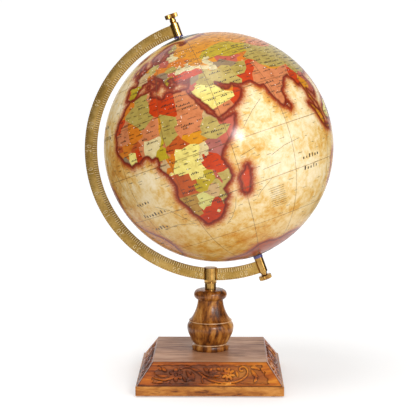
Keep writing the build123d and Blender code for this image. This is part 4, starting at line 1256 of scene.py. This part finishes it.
# Painted shadow: the dark side of each cut, as darker copies beside the marks.
dark_mark = Finish("brass_in_shade")
shade_mottle = dark_mark.noise(dark_mark.place(), 700, detail=3)
dark_mark.colour(dark_mark.ramp(shade_mottle, [(0.34, "6C4A1C"), (0.7, "8A6628")]))
dark_mark.fixed(Metallic=0.8, Roughness=0.55)

polished = Finish("polished_brass")
breath = polished.noise(polished.place(), 60, detail=5, rough=0.6)
polished.colour(polished.ramp(breath, [(0.3, "98703A"), (0.5, "B88E4C"), (0.7, "D2AC68")]))
polished.roughness(polished.span(breath, 0.3, 0.7, 0.26, 0.17))
polished.fixed(Metallic=1.0)

dress(arc_strip, aged)
dress(arc_marks, bright_mark)
dress(arc_shade, dark_mark)
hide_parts("meridian_arc")
for piece in (arc_strip, arc_marks, arc_shade):
    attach(piece, "arc")

# %% [markdown]
# ## Pivot screws
# Two thumb screws of turned brass hold the ball.  Each has a round head with a fine knurl
# round its rim, a shank, and a plain tip that turns in the ball's bush.  The knurl is every
# second point of a circle drawn in a little before the disc is raised.

# %% One screw, then its twin
HEAD_RADIUS, HEAD_THICK, SHANK_RADIUS = 8.5, 5.6, 4.3
KNURL_TEETH, KNURL_VALLEY = 48, 0.955
CHAMFER, CHAMFER_SHRINK = 0.45, 0.93


def knurled_head(name, start):
    """A coin with a grooved rim and a dished face, standing on the height 'start' in mm."""
    pick_nothing()
    bpy.ops.mesh.primitive_circle_add(
        vertices=KNURL_TEETH * 2,
        radius=HEAD_RADIUS * MM,
        fill_type="NGON",
        location=(0, 0, start * MM),
    )
    coin = bpy.context.object
    for i, vertex in enumerate(coin.data.vertices):
        if i % 2:
            vertex.co.xy *= KNURL_VALLEY
    open_up(coin)
    bpy.ops.transform.resize(value=(CHAMFER_SHRINK, CHAMFER_SHRINK, 1))
    for lift, grow in (
        (CHAMFER, 1 / CHAMFER_SHRINK), (HEAD_THICK - 2 * CHAMFER, 1.0), (CHAMFER, CHAMFER_SHRINK),
    ):
        bpy.ops.mesh.extrude_region_move(TRANSFORM_OT_translate={"value": (0, 0, lift * MM)})
        bpy.ops.transform.resize(value=(grow, grow, 1))
    bpy.ops.mesh.inset(thickness=2.4 * MM)
    bpy.ops.transform.translate(value=(0, 0, -0.35 * MM))
    bpy.ops.object.mode_set(mode="OBJECT")
    merge_and_face_out(coin)
    settle(coin)
    coin.name = name
    return coin


def pivot_screw(name, head_start, turn):
    """Tip, shank and head along the globe's axis; heights are from the ball's centre."""
    full, groove = SHANK_RADIUS, SHANK_RADIUS - 0.25
    shank = turn_on_lathe("shank", [
        (0.4, 142.0), (1.7, 142.1), (2.5, 143.0), (2.5, 153.7), (3.4, 154.0), (full, 154.8),
        (full, head_start - 6.6), (groove, head_start - 6.2), (full, head_start - 5.8),
        (groove, head_start - 5.4), (full, head_start - 5.0), (full, head_start - 2.4),
        (3.7, head_start - 1.9), (3.7, head_start - 0.9), (4.8, head_start - 0.6),
        (5.8, head_start + 0.1), (5.8, head_start + 0.6), (0.4, head_start + 0.6),
    ], sides=48, sharp=40)
    head = knurled_head("head", head_start)
    screw = join_all([shank, head], name)
    screw.data.transform(LEAN @ turn)
    pick(screw)
    bpy.ops.object.shade_smooth_by_angle(angle=math.radians(12))
    dress(screw, polished)
    return screw


upper_screw = pivot_screw("upper_thumb_screw", 180.8, Matrix.Identity(4))
lower_screw = pivot_screw("lower_thumb_screw", 183.2, TURNED_OVER)
for screw, node, body in (
    (upper_screw, "upper_pivot_screw", "upper_pin"), (lower_screw, "lower_pivot_screw", "lower_pin"),
):
    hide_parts(node)
    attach(screw, body)
print("screws done")


# %% [markdown]
# ## Sheesham wood
# The stand is Indian rosewood: orange brown to dark brown, with streaky grain and fine dark
# pores along it, under a rubbed varnish.  The same recipe serves every wooden part, with
# its own grain direction and tone.  Where the lathe tool's grooves have been rubbed the wood
# shows pale.  On carved faces the sunk ground is a duller brown, following the piece's own
# "hollow" value, and shade is painted dark next to the vine, along the field's border and at
# the edges, following its "groove" value.

# %% Wood recipe
def wood(name, stretch, stops, gloss=0.34, hollow=False, seed=0.0, pale_bands=(), rings=21,
         sheen=0.14):
    """Streaky wood; 'stretch' is small along the grain."""
    finish = Finish(name)
    where = finish.place(stretch, (0.02, 0.03, seed))
    growth = finish.noise(where, rings, detail=8, rough=0.66, distortion=1.6)
    pores = finish.noise(where, 160, detail=5, rough=0.7, distortion=0.2)
    broad = finish.noise(finish.place(), 9, detail=3, rough=0.5)
    tone = finish.maths("ADD", growth, finish.span(broad, 0.3, 0.7, -0.08, 0.08))
    tone = finish.maths("ADD", tone, finish.span(pores, 0.35, 0.65, -0.07, 0.07))
    colour = finish.ramp(tone, stops)
    dark_pores = finish.span(pores, 0.32, 0.44, 0.55, 0.0)
    colour = finish.mix(dark_pores, colour, "3A1C0B")
    if hollow:
        depth = finish.read("hollow")
        dull = finish.mix(0.5, colour, "7A4220")
        colour = finish.mix(finish.span(depth, 0.45, 0.85), colour, dull)
        # Painted shade: the "groove" value darkens the wood next to the vine, along the field's border and
        # at the block's edges.
        groove = finish.read("groove")
        colour = finish.mix(finish.maths("MULTIPLY", groove, 0.93), colour, "220C05")
    for low, high in pale_bands:
        height = finish.node("ShaderNodeSeparateXYZ")
        finish.link(finish.place(), height.inputs["Vector"])
        above_middle = finish.maths("SUBTRACT", height.outputs["Z"], (low + high) / 2 * MM)
        gap = finish.maths("ABSOLUTE", above_middle, 0.0)
        band = finish.span(gap, (high - low) * 0.3 * MM, (high - low) * 0.6 * MM, 0.75, 0.0)
        band = finish.maths("MULTIPLY", band, finish.span(pores, 0.35, 0.6, 0.4, 1.0))
        colour = finish.mix(band, colour, "DDB488")
    finish.colour(colour)
    finish.roughness(finish.span(pores, 0.3, 0.7, gloss + 0.12, gloss - 0.05))
    finish.bump(pores, 0.00012, 0.4)
    finish.fixed(Coat_Weight=sheen, Coat_Roughness=0.24, Specular_IOR_Level=0.22)
    return finish


RED_BROWN = [(0.30, "3A1604"), (0.42, "6E3008"), (0.52, "9C4C0C"), (0.62, "BE6C18"), (0.75, "D69236")]
HONEY = [(0.32, "4A2008"), (0.42, "824616"), (0.52, "A66624"), (0.62, "BC7C36"), (0.75, "CE9450")]
TOP_PAINTED_LIGHT = [(0.30, "7C5038"), (0.42, "9A6C4C"), (0.52, "B08262"), (0.62, "C09472"), (0.75, "CCA484")]
GOLDEN = [(0.30, "341606"), (0.41, "66360F"), (0.50, "95591F"), (0.60, "B47A34"), (0.73, "D2A262")]
carved_wood = wood("carved_sheesham", (0.16, 1, 1.6), RED_BROWN, hollow=True)
plinth_wood = wood("plinth_sheesham", (0.45, 1, 1.6), HONEY, seed=0.4)
# Painted light: the flat top is a lighter, greyer brown, standing in for the pale sheen it takes from light
# above.
top_wood = wood("top_sheesham_painted_light", (0.16, 1, 1.6), TOP_PAINTED_LIGHT, gloss=0.45, seed=0.2, sheen=0.05)
COLUMN_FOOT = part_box("turned_column")[0][2] / MM
worn = [(COLUMN_FOOT + 39.3, COLUMN_FOOT + 40.6), (COLUMN_FOOT + 7.6, COLUMN_FOOT + 9.2)]
column_wood = wood(
    "turned_sheesham", (1.0, 0.8, 0.4), GOLDEN,
    gloss=0.30, seed=0.9, pale_bands=worn, rings=34, sheen=0.3,
)

# %% [markdown]
# ## The turned column
# A baluster from one blank on the lathe: a foot ring, a cove, a full bulb, a fine groove
# with a bead over it, a bell that narrows upwards and a rounded collar.

# %% Column
COLUMN_OUTLINE = (
    [(0.5, 0.0), (23.8, 0.0)]
    + round_between((24.2, 0.4), (25.1, 3.7), (24.2, 7.0))
    + [(23.6, 7.4), (23.0, 7.45), (22.5, 8.0), (22.2, 8.6), (22.5, 9.3), (23.1, 9.8)]
    + [(24.8, 12.2), (26.2, 14.8), (27.4, 17.5), (28.6, 20.4), (29.8, 23.2), (30.7, 26.0)]
    + [(31.2, 28.8), (31.38, 31.0), (31.2, 33.0), (30.6, 35.2), (29.6, 36.9), (28.8, 37.8)]
    + [(27.9, 38.2), (27.6, 38.6), (27.9, 39.0), (28.6, 39.25), (28.9, 39.6), (28.9, 40.2)]
    + [(28.5, 40.8), (27.0, 41.9), (25.5, 43.4), (24.1, 45.6), (22.6, 48.3), (21.2, 51.2)]
    + [(20.0, 54.0), (19.0, 56.8), (18.1, 59.8), (17.5, 62.8), (17.1, 65.8), (16.95, 68.4)]
    + round_between((17.6, 69.0), (22.2, 75.5), (18.0, 81.8), steps=14)
    + [(17.4, 82.0), (0.5, 82.0)]
)
column = turn_on_lathe(
    "baluster", COLUMN_OUTLINE, place=Matrix.Translation((0, 0, COLUMN_FOOT * MM)), sharp=34
)
dress(column, column_wood)
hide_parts("turned_column")
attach(column, "stand")
print("column", [round(v / MM, 1) for v in column.dimensions])

# %% [markdown]
# ## The carved block
# Each sloping side has a shallow sunk field in which a vine is left standing: an S-shaped
# stem that curls up at one end, two flowers with six and eight petals, and pointed leaves.  The carver
# cuts the ground away with gouges, so the relief never rises above the face.  A carved
# relief is a height over a flat face, so each side is a fine grid whose points are sunk by
# a height worked out from the drawing below.  U runs along the side from its middle and V
# up the slope from its lower edge, both in mm.

# %% The slope
block_low, block_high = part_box("base_block")
FOOT_HALF = block_high[0] / MM
TOP_HALF = 74.0
RISE = (block_high[2] - block_low[2]) / MM
SLOPE = math.hypot(FOOT_HALF - TOP_HALF, RISE)
FACES_ACROSS, FACES_UP = 300, 56
print("slope", round(SLOPE, 1), "mm; half lengths", round(FOOT_HALF, 1), TOP_HALF)


# %% Drawing tools for the relief
def curve_through(points, count=60):
    """A smooth line through a few drawn points."""
    p = np.array(points, float)
    p = np.concatenate([[2 * p[0] - p[1]], p, [2 * p[-1] - p[-2]]])
    out = []
    for i in range(1, len(p) - 2):
        for t in np.linspace(0, 1, count, endpoint=False):
            a, b, c, d = p[i - 1:i + 3]
            out.append(0.5 * (2 * b + (c - a) * t + (2 * a - 5 * b + 4 * c - d) * t ** 2
                              + (3 * b - a - 3 * c + d) * t ** 3))
    out.append(p[-2])
    return np.array(out)


def distance_to(spots, line):
    """Distance from each spot to a drawn line, and how far along the line that is."""
    best = np.full(len(spots), 1e9)
    along = np.zeros(len(spots))
    for number, point in enumerate(line):
        gap = np.hypot(spots[:, 0] - point[0], spots[:, 1] - point[1])
        nearer = gap < best
        best[nearer] = gap[nearer]
        along[nearer] = number / (len(line) - 1)
    return best, along


def stem_height(spots, points, width, taper=0.35):
    """A rounded stem that thins towards its end."""
    gap, along = distance_to(spots, curve_through(points, 30))
    reach = width * (1 - (1 - taper) * along)
    return np.sqrt(np.clip(1 - (gap / reach) ** 2, 0, 1))


def leaf_height(spots, base, tip, width, curl=0.0):
    """A pointed leaf with a sunk middle vein."""
    base, tip = np.array(base, float), np.array(tip, float)
    length = np.linalg.norm(tip - base)
    ahead = (tip - base) / length
    side = np.array([-ahead[1], ahead[0]])
    local = spots - base
    t = local @ ahead / length
    s = local @ side - curl * np.sin(np.pi * np.clip(t, 0, 1))
    half = width * np.sin(np.pi * np.clip(t, 0, 1) ** 0.8) ** 0.8
    body = np.where((t > 0) & (t < 1), np.clip(1 - (np.abs(s) / np.maximum(half, 0.01)) ** 3, 0, 1), 0)
    vein = 0.35 * np.exp(-((s / 0.55) ** 2))
    return np.clip(body - vein * (body > 0), 0, 1)


def flower_height(spots, centre, radius, petals=6, turn=0.3):
    """Petals with a groove down each, round a button."""
    offset = spots - np.array(centre)
    r = np.hypot(offset[:, 0], offset[:, 1])
    angle = np.arctan2(offset[:, 1], offset[:, 0]) + turn
    lobe = np.abs(np.cos(angle * petals / 2))
    reach = radius * (0.42 + 0.58 * lobe ** 0.7)
    body = np.clip((reach - r) / 1.1, 0, 1) ** 0.6
    fold = 0.3 * np.exp(-((1 - lobe) / 0.035)) * (r > 2.4)
    ring = 0.75 * np.exp(-(((r - 2.3) / 0.5) ** 2))
    return np.clip(body - fold - ring, 0, 1)


# %% [markdown]
# The drawing of the vine is the same on all four sides, as a carver works from one pattern.

# %% The vine
# Each stem: the points it runs through, its width, and what is left of it at its end.
STEMS = [
    ([(-38, 25.5), (-31, 27.6), (-24, 26.2), (-16, 21), (-8, 14.5), (0, 9.6), (10, 6.8), (22, 5.8),
      (34, 7.2), (43, 11.5), (48.5, 18), (48.3, 24.5), (43.5, 28), (38.8, 26), (39.6, 22.6),
      (42.6, 22.4)], 1.5, 0.7),
    ([(-28, 27), (-18, 24), (-9, 18.6), (-2, 15), (8, 12), (14, 11.5)], 0.9, 0.5),
    ([(-52, 11), (-60, 9.4), (-70, 11.5), (-74, 13.8)], 1.5, 0.4),
    ([(-8, 15), (-10, 10.5), (-9, 6.4)], 1.2, 0.8),
]
# Each flower: its middle, radius, number of petals and turn.
FLOWERS = [((-44, 16.5), 9.8, 6, 0.5), ((23.4, 17.6), 9.6, 8, 0.2)]
# Each leaf: its base, its tip, half its width, and how far it curls aside.
LEAVES = [
    ((-20, 8.2), (-31, 23.5), 2.6, 1.2), ((-21, 8.6), (-24, 21), 2.3, -0.8),
    ((-30, 7), (-19.5, 15.5), 2.2, 0.8), ((-31, 7.2), (-35, 14), 1.8, 0.0),
    ((-2, 19), (-8.5, 27), 2.4, -0.6), ((0, 18.5), (3.5, 27.5), 2.2, 0.6),
    ((-1, 17.6), (11, 22.2), 2.2, 0.7), ((4, 14.5), (13, 15.4), 1.8, 0.4),
    ((9, 26.6), (14.2, 22.2), 1.9, 0.0), ((33.5, 22), (36.5, 13.2), 1.8, 0.5),
    ((53, 27.5), (66, 23.5), 2.2, 0.9), ((54, 24), (63, 12.6), 2.4, -1.0),
    ((60, 15), (57, 5.8), 2.2, 0.8), ((66, 26.6), (71, 18.4), 1.7, 0.3),
    ((-54, 15), (-71, 17.6), 2.3, 0.8), ((-56, 20.5), (-63, 27.8), 2.2, 0.5),
    ((-63, 23), (-67.5, 28.2), 1.7, 0.2), ((-60, 6.4), (-71.5, 5.2), 1.8, -0.4),
    ((-73, 8.4), (-84, 4.4), 2.0, 0.6), ((-51, 8), (-58.5, 5.0), 1.7, 0.4),
]


def vine(spots):
    """Height of the standing vine at each spot, from 0 on the ground to 1."""
    parts = [stem_height(spots, *stem) for stem in STEMS]
    parts += [flower_height(spots, *flower) for flower in FLOWERS]
    parts += [leaf_height(spots, *leaf) for leaf in LEAVES]
    return np.clip(1.6 * np.max(parts, axis=0), 0, 1)


def ground_mask(spots):
    """Where the carver cut the ground away: a band round the vine with a soft edge."""
    u, v = spots[:, 0], spots[:, 1]
    wobble = 0.9 * np.sin(u * 0.31) + 0.6 * np.sin(u * 0.83 + 1.0)
    low = np.clip((v - 3.8 - 0.5 * wobble) / 1.0, 0, 1)
    high = np.clip((30.2 + 0.5 * wobble - v) / 1.0, 0, 1)
    ends = 79.5 - 0.42 * v + 1.4 * np.sin(v * 0.7)
    side = np.clip((ends - np.abs(u)) / 1.2, 0, 1)
    return low * high * side


def blurred(field, reach):
    """Average over a small square of grid points."""
    padded = np.pad(field, reach, mode="edge")
    total = np.zeros_like(field)
    for row in range(2 * reach + 1):
        for column in range(2 * reach + 1):
            total += padded[row:row + field.shape[0], column:column + field.shape[1]]
    return total / (2 * reach + 1) ** 2


# %% One carved side
GROUND_DEPTH, GOUGE_MARKS = 1.7, 0.10
pick_nothing()
bpy.ops.mesh.primitive_grid_add(
    x_subdivisions=FACES_ACROSS, y_subdivisions=FACES_UP, size=2, location=(0, 0, 0)
)
side = bpy.context.object
side.name = "carved_side"
grid = np.array([v.co[:] for v in side.data.vertices])
points_across = int((np.abs(grid[:, 1] - grid[0, 1]) < 1e-6).sum())
spots = np.stack([
    grid[:, 0] * (FOOT_HALF + (TOP_HALF - FOOT_HALF) * (grid[:, 1] + 1) / 2),
    (grid[:, 1] + 1) / 2 * SLOPE,
], axis=1)
standing = vine(spots)
cut = ground_mask(spots)
gouge_rows = np.sin(spots[:, 0] * 2.1 + spots[:, 1] * 1.3)
chatter = GOUGE_MARKS * gouge_rows * np.sin(spots[:, 0] * 0.9 - spots[:, 1] * 2.4)
sunk = GROUND_DEPTH * cut * (1 - 0.94 * standing) + chatter * cut * (1 - standing)
sunk = np.maximum(sunk, 0)
rim = (np.abs(grid[:, 0]) > 0.999) | (np.abs(grid[:, 1]) > 0.999)
sunk[rim] = 0
lean_in = (FOOT_HALF - TOP_HALF) / SLOPE
rise_up = RISE / SLOPE
outer = -FOOT_HALF + spots[:, 1] * lean_in + sunk * rise_up
height = block_low[2] / MM + spots[:, 1] * rise_up - sunk * lean_in
placed = np.stack([spots[:, 0], outer, height], axis=1) * MM
side.data.vertices.foreach_set("co", placed.astype(np.float32).ravel())
store_values(side.data, "hollow", sunk / GROUND_DEPTH)
side.data.update()
print("one side has", len(side.data.polygons), "faces, deepest", round(sunk.max(), 2), "mm")

# %% Painted shade next to the vine and along the edges
RISEN_FROM = 0.45
TOP_EDGE, FOOT_EDGE, MITRE_EDGE = 0.9, 1.3, 1.1
shape = (-1, points_across)
risen = (standing > RISEN_FROM).astype(float).reshape(shape)
near_vine = blurred(blurred(risen, 2), 1).reshape(-1)
near_border = blurred((1 - cut).reshape(shape), 2).reshape(-1)
open_ground = cut * (standing < RISEN_FROM)
from_mitre = FOOT_HALF - spots[:, 1] * lean_in - np.abs(spots[:, 0])
# Painted shade next to the standing vine and the field's border, a painted shadow line at the foot where
# the block meets the plinth, and darker bands along the top edge and the mitres.
painted_shade_and_dark_edges = np.max([
    np.clip(1.9 * near_vine, 0, 1) * open_ground,
    np.clip(1.7 * near_border, 0, 1) * open_ground,
    0.75 * (spots[:, 1] > SLOPE - TOP_EDGE),
    0.8 * (spots[:, 1] < FOOT_EDGE),
    0.7 * (from_mitre < MITRE_EDGE),
], axis=0)
store_values(side.data, "groove", painted_shade_and_dark_edges)
print("stained share", round(float(painted_shade_and_dark_edges.mean()), 2))

# %% [markdown]
# The other three sides are copies turned round the stand's middle.  The four are joined,
# their mitred edges merged, and the flat top and bottom filled.

# %% Four sides make the block
sides = [side]
for quarter in (1, 2, 3):
    sides.append(copy_of(side, "carved_side", Matrix.Rotation(quarter * math.pi / 2, 4, "Z")))
carved_block = join_all(sides, "carved_block")
close_ends(carved_block)
pick(carved_block)
bpy.ops.object.shade_smooth_by_angle(angle=math.radians(48))
dress(carved_block, carved_wood)
# The top face takes the lighter, greyer top finish, a painted sheen of light from above.
carved_block.data.materials.append(top_wood.material)
for face in carved_block.data.polygons:
    if face.normal.z > 0.99 and face.center.z > block_high[2] - 0.5 * MM:
        face.material_index = 1
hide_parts("base_block")
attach(carved_block, "stand")
print("block", [round(v / MM, 1) for v in carved_block.dimensions], len(carved_block.data.polygons))

# %% [markdown]
# ## Finishes of the pieces that stay as they are
# The plinth, post, barrels, spacers, caps, feet and the hidden fixings are complete in the
# solid model; they only need their finishes.

# %% Small finishes
def plain_finish(name, dark, light, scale=300, rough=(0.5, 0.4), metal=0.0, coat=0.0):
    """Two close tones mottled together."""
    finish = Finish(name)
    mottle = finish.noise(finish.place(), scale, detail=4, rough=0.6)
    finish.colour(finish.ramp(mottle, [(0.3, dark), (0.7, light)]))
    finish.roughness(finish.span(mottle, 0.3, 0.7, rough[0], rough[1]))
    finish.fixed(Metallic=metal, Coat_Weight=coat, Coat_Roughness=0.1)
    return finish


rubber = plain_finish("foot_rubber", "17171A", "26262A", 500, (0.85, 0.7))
steel = plain_finish("zinc_plated_steel", "8D9096", "B4B7BB", 220, (0.42, 0.3), metal=1.0)
spacer = plain_finish("violet_spacer", "3A3062", "5C5288", 260, (0.35, 0.25), coat=0.5)
cap_black = plain_finish("dark_gloss_cap", "0C0A09", "241E1A", 240, (0.4, 0.3), coat=0.4)
bush = plain_finish("white_bush_plastic", "C9C7BF", "E4E2DA", 300, (0.5, 0.4))
CARRIED_OVER = {
    "base_plinth": plinth_wood,
    "foot_front_left": rubber, "foot_front_right": rubber,
    "foot_rear_left": rubber, "foot_rear_right": rubber,
    "plinth_screws": steel, "tie_bolt": steel, "tie_bolt_washer": steel,
    "socket_post": polished, "arc_clamp_screw": polished,
    "upper_barrel": polished, "lower_barrel": polished,
    "upper_spacer": spacer, "lower_spacer": spacer,
    "equator_ring": bush, "north_bush": bush, "south_bush": bush,
    "north_pole_cap": cap_black, "south_pole_cap": cap_black,
}
for node, finish in CARRIED_OVER.items():
    dress(frame["nodes"][node], finish)
print(len(CARRIED_OVER), "carried-over pieces finished")

# %% [markdown]
# ## Studio
# A sweep of white paper is floor and backdrop in one, so that no horizon shows.  A small
# round soft light stands to the right of the camera, a broad one further right and one
# overhead, and a pale surrounding light keeps the shadows faint.  The paper glows a little
# and is greyer towards the camera, so that it comes out about equally pale all over.

# %% Floor and backdrop in one sweep
PAPER_SIZE, PAPER_BACK, PAPER_HEIGHT, PAPER_BEND = 15.0, 3.4, 4.0, 1.6
pick_nothing()
bpy.ops.mesh.primitive_plane_add(size=PAPER_SIZE, location=(0, PAPER_BACK - PAPER_SIZE / 2, 0))
floor = bpy.context.object
floor.name = "studio_floor"
bpy.ops.object.mode_set(mode="EDIT")
bpy.ops.mesh.select_all(action="DESELECT")
bpy.ops.object.mode_set(mode="OBJECT")
for edge in floor.data.edges:
    edge.select = all(floor.data.vertices[i].co.y > 0 for i in edge.vertices)
bpy.ops.object.mode_set(mode="EDIT")
bpy.ops.mesh.select_mode(type="EDGE")
bpy.ops.mesh.extrude_region_move(TRANSFORM_OT_translate={"value": (0, 0, PAPER_HEIGHT)})
bpy.ops.object.mode_set(mode="OBJECT")
settle(floor)
sweep = floor.modifiers.new("sweep", "BEVEL")
sweep.width = PAPER_BEND
sweep.segments = 12
sweep.limit_method = "ANGLE"
pick(floor)
bpy.ops.object.modifier_apply(modifier=sweep.name)
bpy.ops.object.shade_smooth()
floor_finish = Finish("white_paper")
paper_place = floor_finish.node("ShaderNodeSeparateXYZ")
floor_finish.link(floor_finish.place(), paper_place.inputs["Vector"])
towards_back = floor_finish.span(paper_place.outputs["Y"], -0.6, PAPER_BEND)
floor_finish.colour(floor_finish.ramp(towards_back, [(0.0, "CACACA"), (1.0, "FAFAFA")]))
floor_finish.fixed(
    Roughness=0.9, Specular_IOR_Level=0.1, Emission_Color=(1, 1, 1, 1), Emission_Strength=0.33
)
dress(floor, floor_finish)

# %% Surrounding light
world = bpy.data.worlds.new("studio")
bpy.context.scene.world = world
world.use_nodes = True
background = world.node_tree.nodes["Background"]
background.inputs["Color"].default_value = (1.0, 1.0, 1.0, 1)
background.inputs["Strength"].default_value = 0.50
print("surroundings", background.inputs["Strength"].default_value)

# %% Soft lights
def soft_light(name, place, aim, size, power):
    """An area light at one place, turned towards another."""
    lamp = bpy.data.lights.new(name, "AREA")
    lamp.shape = "ELLIPSE"
    lamp.size, lamp.size_y = size
    lamp.energy = power
    holder = bpy.data.objects.new(name, lamp)
    bpy.context.collection.objects.link(holder)
    holder.location = place
    holder.rotation_euler = (Vector(aim) - Vector(place)).to_track_quat("-Z", "Y").to_euler()


soft_light("key_light", (0.58, -1.62, 0.80), (0, 0, 0.30), (0.34, 0.34), 14)
soft_light("right_light", (1.45, -1.1, 0.8), (0, 0, 0.28), (0.8, 1.1), 8)
soft_light("top_light", (-0.4, -0.4, 1.8), (0, 0, 0.25), (1.0, 1.0), 13)

# %% [markdown]
# Cards give round brass its shape: it mirrors the dark ones near its edges and the bright
# one as a stripe.  Only mirrored rays see them, so they neither change the light nor stand
# in anyone's view.  The standing ones serve the upper screw.  The post and the lower screw
# are seen from above and mirror the floor, so theirs lie there.

# %% Cards for the brass
def mirror_card(width, tall, place, glow=0.0):
    """A card that is only seen in reflections; 'place' stands it up and puts it there."""
    pick_nothing()
    bpy.ops.mesh.primitive_plane_add(size=1, location=(0, 0, 0))
    card = bpy.context.object
    card.name = "mirror_card"
    card.scale = (width, tall, 1)
    settle(card)
    card.data.transform(place)
    card.visible_camera = False
    card.visible_diffuse = False
    card.visible_shadow = False
    card_finish = Finish("card")
    card_finish.fixed(
        Base_Color=(0.055, 0.043, 0.03, 1), Roughness=0.9,
        Emission_Color=(1, 0.97, 0.92, 1), Emission_Strength=glow,
    )
    dress(card, card_finish)


def stood_up(direction, distance, tall):
    """Upright on the floor and facing the stand; the direction is in degrees from the camera."""
    angle = math.radians(direction)
    spot = (distance * math.sin(angle), -distance * math.cos(angle), tall / 2)
    return (Matrix.Translation(spot) @ Matrix.Rotation(angle, 4, "Z")
            @ Matrix.Rotation(math.radians(90), 4, "X"))


# Direction, distance, width and height; then width, length, x, y and glow on the floor.
STANDING_CARDS = [(-110, 1.0, 1.2, 1.2), (-54, 0.95, 1.0, 1.2), (112, 0.95, 1.2, 1.2)]
FLOOR_CARDS = [
    (1.0, 1.2, -0.90, 0.38, 0.0), (0.07, 0.5, 0.09, -0.80, 0.0),
    (0.8, 1.2, 0.76, 0.50, 0.0), (0.26, 0.45, 0.32, -0.72, 2.4),
]
OFF_THE_FLOOR = 0.003
for direction, distance, width, tall in STANDING_CARDS:
    mirror_card(width, tall, stood_up(direction, distance, tall))
for width, length, x, y, glow in FLOOR_CARDS:
    mirror_card(width, length, Matrix.Translation((x, y, OFF_THE_FLOOR)), glow)
print(len(STANDING_CARDS) + len(FLOOR_CARDS), "cards")

# %% [markdown]
# ## Camera
# Level with the upper part of the ball and turned down seven degrees, close enough for the
# near edge of the base to look wider than its back.

# %% Camera
view = bpy.data.cameras.new("catalogue_camera")
view.sensor_width = 36
view.lens = 113.5
camera = bpy.data.objects.new("catalogue_camera", view)
bpy.context.collection.objects.link(camera)
camera.location = (0.0165, -1.743, 0.450)
camera.rotation_euler = (math.radians(90 - 7.05), 0, math.radians(0.65))
bpy.context.scene.camera = camera
bpy.context.scene.view_settings.view_transform = "Standard"
print("camera", [round(v, 3) for v in camera.location])
